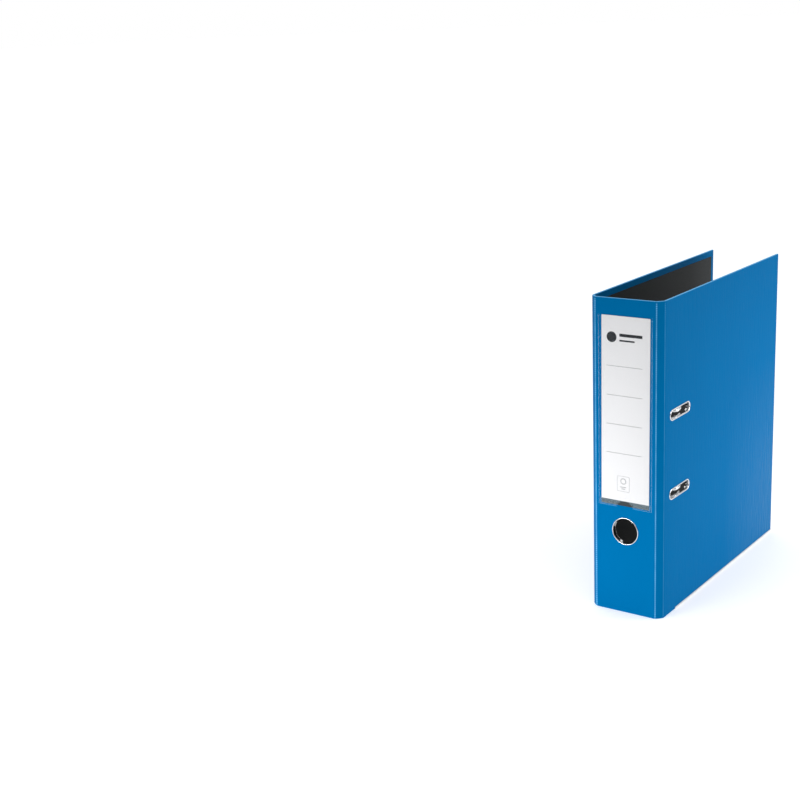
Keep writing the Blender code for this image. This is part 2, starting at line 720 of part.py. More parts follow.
def lever_pins_and_roller(shop):
    """The lever's pin through the lugs, and the roller with its own pin between the lever's cheeks."""
    reach = LEVER_INNER + 2 * SHEET + 2 * GAP
    profile = [
        (0, reach + 0.7 * MM),
        (1.7 * MM, reach + 0.7 * MM),
        (2.3 * MM, reach + 0.3 * MM),
        (2.3 * MM, reach),
        (PIN, reach),
        (PIN, -reach - 0.6 * MM),
        (0, -reach - 0.6 * MM),
    ]
    pin = turned(shop, "lever_pin", profile, place(PIVOT_U, LEVER_V, PIVOT_Z), -Y_AXIS, "steel", 20)
    half = LEVER_INNER - GAP
    bush = ROLLER_PIN + 0.25 * MM
    profile = [
        (ROLLER - 0.3 * MM, half),
        (ROLLER, half - 0.3 * MM),
        (ROLLER, -half + 0.3 * MM),
        (ROLLER - 0.3 * MM, -half),
        (bush, -half),
        (bush, half),
    ]
    centre = place(ROLLER_U, LEVER_V, ROLLER_Z)
    roller = turned(shop, "lever_roller", profile, centre, Y_AXIS, "steel", 24, closed=True)
    half = LEVER_INNER + SHEET - 0.05 * MM
    profile = [(0, half), (ROLLER_PIN, half), (ROLLER_PIN, -half), (0, -half)]
    roller_pin = turned(shop, "roller_pin", profile, centre, Y_AXIS, "steel", 16)
    return pin, roller, roller_pin


def compressor(shop):
    """Bar that presses the paper down on the posts, notched for the arches, with a clip round each post."""
    size = (BAR_V[1] - BAR_V[0], BAR_Z[1] - BAR_Z[0])
    centre = place(BAR_U + BAR_SHEET / 2, sum(BAR_V) / 2, sum(BAR_Z) / 2)
    mesh = sheet_mesh("compressor_bar", [rounded_outline(*size, 3 * MM)], BAR_SHEET, centre, Y_AXIS, Z_AXIS)
    bar = shop.add("compressor_bar", mesh, "steel")
    top = BAR_U + BAR_SHEET
    middle = MECHANISM_Z
    edges = (
        ("post_flange", (BAR_V[1] - SHEET, BAR_V[1]), (BAR_Z[0] + 3 * MM, BAR_Z[1] - 3 * MM), 4 * MM),
        ("finger_tab_bar", (BAR_V[1] - SHEET, BAR_V[1]), (middle - 14 * MM, middle + 14 * MM), 11 * MM),
        ("arch_flange", (BAR_V[0], BAR_V[0] + SHEET), (middle - 32 * MM, middle + 32 * MM), 4 * MM),
    )
    for name, v_range, z_range, height in edges:
        edge = shop.cutter(name, uvz_box(name, (BAR_U + 0.2 * MM, BAR_U + height), v_range, z_range))
        boolean(bar, edge, "UNION")
    clips = []
    for level, z in zip(("lower", "upper"), arch_heights()):
        slot = [(AXLE_V - 20 * MM, z - WIRE - 0.6 * MM), (AXLE_V - 20 * MM, z + WIRE + 0.6 * MM)]
        slot += arc((AXLE_V + 0.4 * MM, z), WIRE + 0.6 * MM, 90, -90, 10)
        notch = sheet_mesh("arch_notch", [slot], 8 * MM, place(BAR_U, 0, 0), Y_AXIS, Z_AXIS)
        boolean(bar, shop.cutter("arch_notch_" + level, notch))
        bore(shop, bar, place(BAR_U - GAP, POST_V, z), place(top + GAP, POST_V, z), POST_RADIUS + 0.4 * MM)
        clips.append(compressor_clip(shop, level, z, top))
    return bar, clips


def compressor_clip(shop, level, z, top):
    """Small sheet clip on the bar that grips a post, with a bent-up tongue."""
    name = "compressor_clip_" + level
    outline = rounded_outline(10 * MM, 14 * MM, 2 * MM, 5)
    centre = place(top + 0.7 * MM, POST_V, z)
    clip = shop.add(name, sheet_mesh(name, [outline], 0.8 * MM, centre, Y_AXIS, Z_AXIS), "steel")
    side = math.copysign(1, MECHANISM_Z - z)
    z_range = sorted((z + side * 5.9 * MM, z + side * 6.7 * MM))
    tongue_v = (POST_V - 3 * MM, POST_V + 3 * MM)
    tongue = uvz_box("tongue", (top + 0.5 * MM, top + 4.5 * MM), tongue_v, z_range)
    boolean(clip, shop.cutter("tongue_" + level, tongue), "UNION")
    bore(shop, clip, place(top, POST_V, z), place(top + 2 * MM, POST_V, z), POST_RADIUS + 0.3 * MM)
    return clip


def assemble(shop):
    """Builds every piece and hangs the moving ones on empties at their joints."""
    rear_board, front_board = cover_boards(shop)
    spine = spine_board(shop)
    rear_strip, front_strip = hinge_strips(shop)
    rear_lining, front_lining, spine_lining = linings(shop)
    edge_shoe(shop, "rear_edge_shoe", -1)
    front_shoe = edge_shoe(shop, "front_edge_shoe", 1)
    ring, ring_washer = finger_ring(shop)
    pocket, label = label_pocket(shop)
    slots = []
    for level, z in zip(("lower", "upper"), arch_heights()):
        slots += arch_slot(shop, level, z, front_board, front_lining)
    plate = base_plate(shop)
    cover_rivets(shop, plate, rear_board, rear_lining)
    posts(shop)
    wire = arch_wire(shop)
    leaf_spring(shop)
    lever_body = lever(shop)
    lever_pin, roller, roller_pin = lever_pins_and_roller(shop)
    bar, clips = compressor(shop)

    cover_pivot = SPINE_Y + COVER_PIVOT_V
    spine_pivot = SPINE_Y + SPINE_PIVOT_V
    shop.axis("rear_strip_fold", Vector((-COVER_PIVOT_X, cover_pivot, 0)))
    shop.axis("rear_spine_fold", Vector((-SPINE_PIVOT_X, spine_pivot, 0)), "rear_strip_fold")
    shop.axis("front_strip_fold", Vector((SPINE_PIVOT_X, spine_pivot, 0)), "rear_spine_fold")
    shop.axis("front_cover_fold", Vector((COVER_PIVOT_X, cover_pivot, 0)), "front_strip_fold")
    shop.axis("label_slide", Vector((0, SPINE_Y - 0.4 * MM, POCKET_BOTTOM)), "rear_spine_fold")
    shop.axis("arch_swing", place(AXLE_U, AXLE_V, MECHANISM_Z))
    shop.axis("lever_lift", place(PIVOT_U, LEVER_V, PIVOT_Z))
    shop.axis("roller_spin", place(ROLLER_U, LEVER_V, ROLLER_Z), "lever_lift")
    shop.axis("compressor_slide", place(BAR_U, POST_V, MECHANISM_Z))
    shop.hang("rear_strip_fold", rear_strip)
    shop.hang("rear_spine_fold", spine, spine_lining, ring, ring_washer, pocket)
    shop.hang("front_strip_fold", front_strip)
    shop.hang("front_cover_fold", front_board, front_lining, front_shoe, *slots)
    shop.hang("label_slide", label)
    shop.hang("arch_swing", wire)
    shop.hang("lever_lift", lever_body, roller_pin)
    shop.hang("roller_spin", roller)
    shop.hang("compressor_slide", bar, *clips)
    return lever_pin


clear_scene()
assemble(Workshop())
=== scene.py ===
"""Looks of the lever arch file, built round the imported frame: film-covered case, lining, chrome and steel.

Places come from the frame. Three measures are used throughout, as in the part's own source: u runs from the
rear cover's inner face towards the front cover (+X), v from the spine's outer face into the file (+Y), and
z is the height.
"""

import json
from math import asin, atan2, copysign, cos, degrees, exp, pi, radians, sin, sqrt

import bmesh
import bpy
from mathutils import Matrix, Vector


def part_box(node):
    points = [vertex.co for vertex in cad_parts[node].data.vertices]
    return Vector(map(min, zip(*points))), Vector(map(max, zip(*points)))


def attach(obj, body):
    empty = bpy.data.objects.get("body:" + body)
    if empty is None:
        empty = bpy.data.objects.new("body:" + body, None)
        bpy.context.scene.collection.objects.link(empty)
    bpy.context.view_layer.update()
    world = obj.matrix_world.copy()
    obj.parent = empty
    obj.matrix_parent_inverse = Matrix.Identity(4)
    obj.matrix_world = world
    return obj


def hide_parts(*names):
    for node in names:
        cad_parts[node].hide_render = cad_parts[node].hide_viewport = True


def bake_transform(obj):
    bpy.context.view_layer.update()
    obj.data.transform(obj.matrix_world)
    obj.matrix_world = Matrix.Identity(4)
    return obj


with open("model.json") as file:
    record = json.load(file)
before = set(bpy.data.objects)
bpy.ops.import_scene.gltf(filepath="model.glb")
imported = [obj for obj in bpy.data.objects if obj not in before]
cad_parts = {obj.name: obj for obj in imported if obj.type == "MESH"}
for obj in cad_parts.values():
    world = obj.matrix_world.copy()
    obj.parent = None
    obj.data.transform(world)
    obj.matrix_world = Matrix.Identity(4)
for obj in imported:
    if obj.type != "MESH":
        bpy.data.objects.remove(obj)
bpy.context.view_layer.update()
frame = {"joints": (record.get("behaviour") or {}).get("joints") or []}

MM = 0.001
X_AXIS = Vector((1, 0, 0))
Y_AXIS = Vector((0, 1, 0))
Z_AXIS = Vector((0, 0, 1))

REAR_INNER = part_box("rear_cover_board")[1].x
FRONT_LOW, FRONT_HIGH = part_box("front_cover_board")
SPINE_LOW, SPINE_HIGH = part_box("spine_board")
HEIGHT = SPINE_HIGH.z
SPINE_Y = SPINE_LOW.y
BOARD = FRONT_HIGH.x - FRONT_LOW.x
HALF_BOARD = BOARD / 2
FRONT_OUTER = FRONT_HIGH.x
FORE_Y = FRONT_HIGH.y
PIVOTS = {joint["name"]: Vector(joint["pos_m"]) for joint in frame["joints"] if "pos_m" in joint}

# Case film
RIM = 0.6 * MM
GROOVE_DEPTH = 0.40 * MM
GROOVE_WIDTH = 0.50 * MM
GROOVE_INSIDE = 0.45 * MM
PUCKER = 0.11 * MM
PUCKER_PITCH = 2.1 * MM
PUCKER_PLACE = 0.8 * MM
PUCKER_WIDTH = 0.32 * MM
CREASE_TURN = 0.55 * MM
# Width and strength of the pale line along each crease: stretched film with a painted highlight.
CREASE_LINE = tuple(width * MM for width in (0.3, 0.5, 0.27, 0.3))
CREASE_STRETCH_AND_HIGHLIGHT = (0.3, 1.0, 1.0, 0.3)
ROWS = 600
SHOE_RECESS = 0.6 * MM

# Lining
LINING_GLUE = 0.04 * MM
LINING_SHEET = 0.22 * MM

# Ring, slots and holes
RING_RADIUS = 14.1 * MM
RING_BORE = 12.5 * MM
RING_COLLAR = 13.3 * MM
RING_HOLE = 13.7 * MM
SLOT_WALL = 0.6 * MM
SLOT_FLANGE = 2.2 * MM
SLOT_RIM = 1.8 * MM
HOLE_GAP = 0.3 * MM
RIVET_HOLE = 2.2 * MM

# Label
LABEL_PLAY = 1.0 * MM
LABEL_TILT = radians(0.28)

# Mechanism
WIRE = 2 * MM
ARCH_RADIUS = 66 * MM
ARCH_LEG_BEND = 8 * MM
ARCH_POST_BEND = 7 * MM
CRANK = 16 * MM
CRANK_ANGLE = radians(24)
CRANK_Z = (218 * MM, 238 * MM)
PLATE_SHEET = 1.0 * MM
LEVER_SHEET = 1.0 * MM
LEVER_LENGTH = 54 * MM
LEVER_INSIDE = 4.8 * MM
ROLLER_ARM = 4.6 * MM
ROLLER_ANGLE = radians(20)

# Camera
CAMERA_PLACE = (0.5877, -1.29295, 0.5790)
CAMERA_AZIMUTH = radians(36.61)
CAMERA_ELEVATION = radians(15.32)
CAMERA_ROLL = radians(-2.50)


def place(u, v, z):
    """World point at u from the rear cover's inner face, v from the spine's outer face, z up."""
    return Vector((REAR_INNER + u, SPINE_Y + v, z))


def measures(point):
    """The (u, v, z) of a world point."""
    return point.x - REAR_INNER, point.y - SPINE_Y, point.z


class NodeBox:
    """A CAD node's box at rest: corners, centre, size and half its size, and its low and high u, v and z."""

    def __init__(self, node):
        self.low, self.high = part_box(node)
        self.centre = (self.low + self.high) / 2
        self.size = self.high - self.low
        self.half = self.size / 2
        self.u, self.v, self.z = zip(measures(self.low), measures(self.high))


def mm(*points):
    """Points given in millimetres, in metres."""
    return [(x * MM, y * MM) for x, y in points]


def smoothstep(t):
    t = min(max(t, 0.0), 1.0)
    return t * t * (3 - 2 * t)


def bump(x, middle, width):
    """A bell curve: 1 at the middle, 0.37 at the width from it."""
    return exp(-(((x - middle) / width) ** 2))


# ---------------------------------------------------------------- materials


class Nodes:
    """A node tree, with short ways to add nodes and link them."""

    def __init__(self, tree):
        self.tree = tree

    def set(self, node, name, value):
        """Sets an input to a value, or links it when the value is another node's output."""
        socket = node.inputs[name]
        if isinstance(value, bpy.types.NodeSocket):
            self.tree.links.new(value, socket)
        else:
            socket.default_value = (*value, 1.0) if socket.type == "RGBA" else value

    def add(self, kind, output=0, settings=(), **inputs):
        """Adds a node and returns an output. An input goes by its name, or by i and its number."""
        node = self.tree.nodes.new("ShaderNode" + kind)
        for key, value in dict(settings).items():
            setattr(node, key, value)
        for key, value in inputs.items():
            self.set(node, int(key[1:]) if key[1:].isdigit() else key.replace("_", " "), value)
        return node.outputs[output]

    def maths(self, operation, first, second):
        return self.add("Math", 0, {"operation": operation}, i0=first, i1=second)


class Shader(Nodes):
    """A material: its nodes read the object's coordinates, or the UV map of an unrolled sheet."""

    def __init__(self, name, unrolled=False):
        self.material = bpy.data.materials.new(name)
        self.material.use_nodes = True
        super().__init__(self.material.node_tree)
        self.principled = self.tree.nodes["Principled BSDF"]
        self.where = self.add("UVMap") if unrolled else self.add("TexCoord", "Object")

    def noise(self, scale, detail=3.0, roughness=0.5, distortion=0.0):
        """Noise over the coordinates in metres, times a scale for each axis."""
        where = self.add("Mapping", Vector=self.where, Scale=scale)
        shape = {"Detail": detail, "Roughness": roughness, "Distortion": distortion}
        return self.add("TexNoise", Vector=where, Scale=1.0, **shape)

    def ramp(self, value, low, high, out_low, out_high):
        return self.add("MapRange", Value=value, i1=low, i2=high, i3=out_low, i4=out_high)

    def mix(self, factor, first, second):
        return self.add("Mix", 2, {"data_type": "RGBA"}, i0=factor, i6=first, i7=second)

    def bump(self, height, distance, strength, **normal):
        return self.add("Bump", Height=height, Distance=distance, Strength=strength, **normal)

    def finish(self, **inputs):
        for key, value in inputs.items():
            self.set(self.principled, key.replace("_", " "), value)
        return self.material


def film_material():
    """Blue film: fine peel, upright ripples and more gloss low on the front cover; paler where stretched,
    with painted highlights along the creases and the rounded rims.
    """
    shader = Shader("blue_film", unrolled=True)
    peel = shader.noise((520, 430, 1), 2.0)
    ripple = shader.noise((330, 42, 1), 2.0, 0.45, 0.6)
    wave = shader.noise((22, 16, 1), 1.0)
    patch = shader.noise((9, 7, 1), 3.0, 0.6)
    scuff = shader.noise((900, 900, 1), 4.0, 0.7)
    # The stretch layer: paler stretched film, plus a painted highlight along the creases and the rounded
    # rims.
    stretch = shader.add("Attribute", "Fac", {"attribute_name": "stretch"})
    stretch_and_highlight = shader.maths("MULTIPLY", stretch, shader.ramp(scuff, 0.3, 0.7, 0.6, 1.0))
    base = shader.mix(patch, (0.0, 0.126, 0.328), (0.0, 0.140, 0.360))
    # Pale blue over the stretch layer: stretched film and a painted highlight.
    base = shader.mix(stretch_and_highlight, base, (0.16, 0.50, 0.85))
    scuffed = shader.ramp(scuff, 0.3, 0.8, 0.0, 0.05)
    rough = shader.maths("ADD", shader.ramp(patch, 0.3, 0.7, 0.25, 0.33), scuffed)
    across = shader.ramp(shader.add("SeparateXYZ", 0, Vector=shader.where), 0.50, 0.62, 0.0, 1.0)
    above = shader.ramp(shader.add("SeparateXYZ", 1, Vector=shader.where), 0.07, 0.21, 1.0, 0.0)
    glossy = shader.maths("MULTIPLY", across, above)
    rippled = shader.maths("MULTIPLY", ripple, shader.ramp(glossy, 0.0, 1.0, 0.35, 1.0))
    normal = shader.bump(wave, 0.0014, 0.25)
    normal = shader.bump(rippled, 0.0006, 0.9, Normal=normal)
    normal = shader.bump(peel, 0.00007, 0.6, Normal=normal)
    level = shader.ramp(glossy, 0.0, 1.0, 0.005, 0.03)
    looks = {"IOR": 1.49, "Specular_IOR_Level": level, "Specular_Tint": (0.12, 0.6, 1.0)}
    return shader.finish(Base_Color=base, Roughness=rough, Normal=normal, **looks)


def lining_material():
    """Dark grey lining paper: fine fibres and a soft mottle."""
    shader = Shader("dark_lining", unrolled=True)
    fibre = shader.noise((1500, 420, 1), 4.0, 0.65)
    mottle = shader.noise((60, 60, 1))
    base = shader.mix(shader.ramp(fibre, 0.3, 0.75, 0.0, 1.0), (0.007, 0.011, 0.012), (0.016, 0.021, 0.023))
    base = shader.mix(shader.ramp(mottle, 0.3, 0.7, 0.0, 0.35), base, (0.012, 0.015, 0.017))
    normal = shader.bump(fibre, 0.00006, 0.7)
    rough = shader.ramp(fibre, 0.3, 0.7, 0.5, 0.68)
    return shader.finish(Base_Color=base, Roughness=rough, Specular_IOR_Level=0.16, Normal=normal)


def metal_material(name, tone, smooth, rough, grain):
    """Plated metal: the grain's three noise scales are unequal on brushed sheet, equal on polished pieces."""
    shader = Shader(name)
    brushed = shader.noise(grain, 4.0, 0.6)
    cloud = shader.noise((45, 45, 45))
    darker = tuple(0.86 * part for part in tone)
    base = shader.mix(shader.ramp(cloud, 0.3, 0.7, 0.0, 1.0), tone, darker)
    streaks = shader.ramp(brushed, 0.3, 0.7, smooth, rough)
    shine = shader.maths("ADD", streaks, shader.ramp(cloud, 0.4, 0.8, 0.0, (rough - smooth) / 2))
    normal = shader.bump(brushed, 0.00001, 0.6)
    return shader.finish(Base_Color=base, Metallic=1.0, Roughness=shine, Normal=normal)


def paper_material(name, light, dark, roughness):
    """Smooth label card: very fine fibres."""
    shader = Shader(name)
    fibre = shader.noise((900, 900, 1400), 4.0, 0.6)
    base = shader.mix(shader.ramp(fibre, 0.3, 0.7, 0.0, 1.0), light, dark)
    normal = shader.bump(fibre, 0.00003, 0.4)
    return shader.finish(Base_Color=base, Roughness=roughness, Specular_IOR_Level=0.15, Normal=normal)


def pocket_material():
    """Clear film: nearly invisible, milky where it is frosted at its foot, and blue along its cut edges as a
    painted edge highlight.
    """
    shader = Shader("clear_film")
    haze_and_edge_highlight = shader.add("Attribute", "Fac", {"attribute_name": "haze_and_edge_highlight"})
    grain = shader.noise((700, 700, 700))
    alpha = shader.maths("MULTIPLY", haze_and_edge_highlight, shader.ramp(grain, 0.2, 0.8, 0.8, 1.2))
    # Towards blue at the cut edges: a painted edge highlight.
    tone = shader.mix(shader.ramp(haze_and_edge_highlight, 0.11, 0.22, 0.0, 1.0), (0.52, 0.70, 0.80), (0.07, 0.50, 0.92))
    normal = shader.bump(shader.noise((60, 60, 18), 2.0), 0.0004, 0.2)
    return shader.finish(Base_Color=tone, Roughness=0.16, Specular_IOR_Level=0.2, Alpha=alpha, Normal=normal)


def floor_material():
    """Pale matt studio floor with a barely visible mottle."""
    shader = Shader("studio_floor")
    base = shader.mix(shader.noise((3, 3, 3)), (0.84, 0.84, 0.845), (0.88, 0.88, 0.885))
    glow = {"Emission_Color": base, "Emission_Strength": 0.35}
    return shader.finish(Base_Color=base, Roughness=0.85, Specular_IOR_Level=0.1, **glow)


MATERIALS = {
    "film": film_material(),
    "lining": lining_material(),
    "chrome": metal_material("chrome", (0.78, 0.79, 0.80), 0.05, 0.09, (300, 300, 300)),
    "steel": metal_material("plated_steel", (0.54, 0.55, 0.565), 0.17, 0.27, (400, 400, 2600)),
    "shoe": metal_material("shoe_steel", (0.74, 0.75, 0.76), 0.22, 0.34, (2600, 60, 2600)),
    "pocket": pocket_material(),
    "label": paper_material("label_white", (0.755, 0.75, 0.76), (0.72, 0.72, 0.73), 0.55),
    "band": paper_material("label_band", (0.036, 0.046, 0.051), (0.028, 0.037, 0.041), 0.45),
    "line": paper_material("label_line", (0.36, 0.36, 0.37), (0.30, 0.30, 0.31), 0.6),
    "ink": paper_material("label_ink", (0.014, 0.015, 0.017), (0.009, 0.010, 0.012), 0.5),
}


# ---------------------------------------------------------------- mesh tools


def link(name, data):
    """A new object in the scene."""
    item = bpy.data.objects.new(name, data)
    bpy.context.scene.collection.objects.link(item)
    return item


def shade(mesh, sharp):
    """Smooth shading, apart from the edges sharper than this angle."""
    mesh.shade_smooth()
    mesh.set_sharp_from_angle(angle=radians(sharp))
    return mesh


def object_from(name, bm, sharp=30, weld=True):
    if weld:
        bmesh.ops.remove_doubles(bm, verts=bm.verts, dist=1e-7)
    bmesh.ops.recalc_face_normals(bm, faces=bm.faces)
    mesh = bpy.data.meshes.new(name)
    bm.to_mesh(mesh)
    bm.free()
    return link(name, shade(mesh, sharp))


def evaluated_mesh(item):
    """A mesh of the object as its modifiers or its curve make it."""
    bpy.context.view_layer.update()
    return bpy.data.meshes.new_from_object(item.evaluated_get(bpy.context.evaluated_depsgraph_get()))


def apply_modifiers(item, sharp):
    """Replaces the object's mesh by what its modifiers make."""
    mesh = evaluated_mesh(item)
    item.modifiers.clear()
    old = item.data
    item.data = mesh
    bpy.data.meshes.remove(old)
    shade(mesh, sharp)
    return item


def combine(item, others, operation="DIFFERENCE", sharp=30):
    """Boolean of item with the others, which are used up."""
    for other in others:
        modifier = item.modifiers.new(operation, "BOOLEAN")
        modifier.object = other
        modifier.operation = operation
        modifier.solver = "EXACT"
    apply_modifiers(item, sharp)
    for other in others:
        bpy.data.meshes.remove(other.data)
    return item


def bevel(item, width):
    modifier = item.modifiers.new("Round edges", "BEVEL")
    modifier.width = width
    modifier.segments = 2
    modifier.limit_method = "ANGLE"
    modifier.angle_limit = radians(28)
    return apply_modifiers(item, 30)


def arc(centre, radius, start, end, steps):
    """Points on a circle, from one angle to another in degrees."""
    points = []
    for i in range(steps + 1):
        angle = radians(start + (end - start) * i / steps)
        points.append((centre[0] + radius * cos(angle), centre[1] + radius * sin(angle)))
    return points


def circle(radius, centre=(0, 0), count=24):
    return arc(centre, radius, 0, 360 - 360 / count, count - 1)


def rounded_outline(length, height, radius, steps=8, centre=(0, 0)):
    """A rectangle with round corners."""
    x = length / 2 - radius
    y = height / 2 - radius
    points = []
    for corner, start in (((x, y), 0), ((-x, y), 90), ((-x, -y), 180), ((x, -y), 270)):
        points += arc((centre[0] + corner[0], centre[1] + corner[1]), radius, start, start + 90, steps)
    return points


def sheet(name, outlines, thickness, centre, across, up, edge=0.0):
    """A flat outline, with holes as further outlines, given a thickness and rounded edges."""
    curve = bpy.data.curves.new(name, "CURVE")
    curve.dimensions = "2D"
    curve.fill_mode = "BOTH"
    curve.extrude = thickness / 2
    for outline in outlines:
        spline = curve.splines.new("POLY")
        spline.points.add(len(outline) - 1)
        for point, (x, y) in zip(spline.points, outline):
            point.co = (x, y, 0, 1)
        spline.use_cyclic_u = True
    holder = link(name, curve)
    raw = evaluated_mesh(holder)
    bpy.data.objects.remove(holder)
    bpy.data.curves.remove(curve)
    bm = bmesh.new()
    bm.from_mesh(raw)
    bpy.data.meshes.remove(raw)
    bmesh.ops.remove_doubles(bm, verts=bm.verts, dist=1e-6)
    bmesh.ops.dissolve_limit(bm, angle_limit=0.001, verts=bm.verts, edges=bm.edges)
    turn = Matrix((across, up, across.cross(up))).transposed().to_4x4()
    bmesh.ops.transform(bm, matrix=Matrix.Translation(centre) @ turn, verts=bm.verts)
    item = object_from(name, bm)
    return bevel(item, edge) if edge else item


def rod(name, start, end, radius, segments=32):
    """A cylinder from one point to another, used as a cutter."""
    turn = Z_AXIS.rotation_difference(end - start).to_matrix().to_4x4()
    bm = bmesh.new()
    size = {"radius1": radius, "radius2": radius, "depth": (end - start).length}
    bmesh.ops.create_cone(bm, cap_ends=True, segments=segments, **size)
    bmesh.ops.transform(bm, matrix=Matrix.Translation((start + end) / 2) @ turn, verts=bm.verts)
    return object_from(name, bm)


def section(start, across, up, outline):
    """The outline's points in space, about a start and along two directions."""
    return [start + across * a + up * b for a, b in outline]


def skin(name, rings, closed_rings=True, join_ends=False, sharp=30):
    """Skins a list of point rings with quads, and caps the two ends or joins them."""
    bm = bmesh.new()
    made = [[bm.verts.new(point) for point in ring] for ring in rings]
    pairs = list(zip(made, made[1:]))
    if join_ends:
        pairs.append((made[-1], made[0]))
    for first, second in pairs:
        count = len(first)
        for i in range(count if closed_rings else count - 1):
            j = (i + 1) % count
            bm.faces.new((first[i], first[j], second[j], second[i]))
    if not join_ends:
        bm.faces.new(list(reversed(made[0])))
        bm.faces.new(made[-1])
    return object_from(name, bm, sharp)


def grid_sheet(columns, rows, layer, corners):
    """A closed sheet: corners(column, row) gives the place and the layer's value on each of its two faces."""
    bm = bmesh.new()
    values = bm.verts.layers.float.new(layer)
    sides = ([], [])
    for column in columns:
        for side in sides:
            side.append([])
        for row in rows:
            for side, (point, value) in zip(sides, corners(column, row)):
                vert = bm.verts.new(point)
                vert[values] = value
                side[-1].append(vert)
    outer, inner = sides
    last_column, last_row = len(columns) - 1, len(rows) - 1
    for i in range(last_column):
        for j in range(last_row):
            bm.faces.new((outer[i][j], outer[i + 1][j], outer[i + 1][j + 1], outer[i][j + 1]))
            bm.faces.new((inner[i][j], inner[i][j + 1], inner[i + 1][j + 1], inner[i + 1][j]))
        for j in (0, last_row):
            bm.faces.new((outer[i][j], inner[i][j], inner[i + 1][j], outer[i + 1][j]))
    for j in range(last_row):
        for i in (0, last_column):
            bm.faces.new((outer[i][j], outer[i][j + 1], inner[i][j + 1], inner[i][j]))
    return bm, sides


def turned(name, piece, profile, centre, direction, steps, closed=False, sharp=50):
    """A turned piece from (radius, height) pairs, heights along the direction; closed makes it a ring.

    The piece is given as its body, its slot and its CAD node.
    """
    turn = Z_AXIS.rotation_difference(direction).to_matrix()
    rings = []
    for i in range(steps):
        angle = 2 * pi * i / steps
        across = Vector((cos(angle), sin(angle), 0))
        rings.append([centre + turn @ (across * radius + Z_AXIS * height) for radius, height in profile])
    body, slot, node = piece
    add_piece(skin(name, rings, closed, True, sharp), body, slot, [node])


def rounded_corners(points, radius, steps=6):
    """The polyline's inner corners replaced by arcs of about this radius."""
    path = [points[0]]
    for before, corner, after in zip(points, points[1:], points[2:]):
        reach = min(radius, (before - corner).length * 0.45, (after - corner).length * 0.45)
        start = corner + (before - corner).normalized() * reach
        end = corner + (after - corner).normalized() * reach
        for i in range(steps + 1):
            t = i / steps
            path.append(start * (1 - t) ** 2 + corner * 2 * t * (1 - t) + end * t**2)
    path.append(points[-1])
    return path


def wire(name, path, round_start=True, sides=20):
    """A round wire with a softly rounded end, and a start that may be rounded as well."""
    stretch = [(point, WIRE) for point in path]
    taper = ((0.0, 0.55), (0.35, 0.86), (1.0, 1.0))
    for end, following in ((0, 1), (-1, -2)):
        if end or round_start:
            ease = (path[following] - path[end]).normalized() * 0.35 * WIRE
            rounded = [(path[end] + ease * along, WIRE * share) for along, share in taper]
            stretch = stretch[:-1] + rounded[::-1] if end else rounded + stretch[1:]
    points = [point for point, _ in stretch]
    tangents = [(b - a).normalized() for a, b in zip(points[:1] + points, points[1:] + points[-1:])]
    side = tangents[0].orthogonal().normalized()
    turns = [2 * pi * k / sides for k in range(sides)]
    rings = []
    for i, (point, radius) in enumerate(stretch):
        if i:
            side = tangents[i - 1].rotation_difference(tangents[i]) @ side
        up = tangents[i].cross(side)
        rings.append(section(point, side, up, [(radius * cos(a), radius * sin(a)) for a in turns]))
    return skin(name, rings, sharp=50)


def add_piece(item, body, slot, nodes, materials=None):
    """Gives a piece its material, chosen by its slot unless materials are listed, attaches it to its body,
    and hides the CAD nodes that it stands for.
    """
    item.data.materials.clear()
    for name in materials or (slot,):
        item.data.materials.append(MATERIALS[name])
    if body is not None:
        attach(item, body)
    if nodes:
        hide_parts(*nodes)
    return item


# ---------------------------------------------------------------- case


class Fold:
    """The case's bent section at one crease: s runs along it from the crease and h out from its middle."""

    CREASES = ("rear_strip_fold", "rear_spine_fold", "front_strip_fold", "front_cover_fold")

    def __init__(self, number):
        creases = [PIVOTS[name].xy for name in self.CREASES]
        outer_ends = [Vector((crease.x, FORE_Y)) for crease in (creases[0], creases[-1])]
        ends = [outer_ends[0], *((a + b) / 2 for a, b in zip(creases, creases[1:])), outer_ends[1]]
        self.crease = creases[number]
        legs = (self.crease - ends[number], ends[number + 1] - self.crease)
        self.reach = (legs[0].length, legs[1].length)
        self.ways = (legs[0].normalized(), legs[1].normalized())
        self.normals = tuple(Vector((way.y, -way.x)) for way in self.ways)
        self.rims = (number == 0, number == 3)
        corners = [ends[0], *creases]
        self.start = sum((b - a).length for a, b in zip(corners[: number + 1], creases))

    def point(self, s, h, z):
        t = smoothstep(0.5 + s / (2 * CREASE_TURN))
        normal = (self.normals[0] * (1 - t) + self.normals[1] * t).normalized()
        where = self.crease + self.ways[0 if s < 0 else 1] * s + normal * h
        return Vector((where.x, where.y, z))

    def bend(self, item, bodies):
        """Bakes the piece's placement into its mesh; the bodies are not used."""
        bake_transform(item)


def stations(fold, near, inset):
    """The s values of a fold: close together at the crease and along a rim, wide apart on the flats."""
    values = [0.0]
    for leg, sign in ((0, -1), (1, 1)):
        reach = fold.reach[leg] - (inset if fold.rims[leg] else 0)
        steps = [step for step in near if step < reach - 0.4 * MM]
        steps += [step for step in (9 * MM, 30 * MM, 90 * MM, 180 * MM) if near[-1] < step < reach - 6 * MM]
        if fold.rims[leg]:
            steps += [reach - RIM * share for share in (3.0, 1.0, 0.6, 0.3, 0.1)]
        values += [sign * step for step in steps] + [sign * reach]
    return sorted(values)


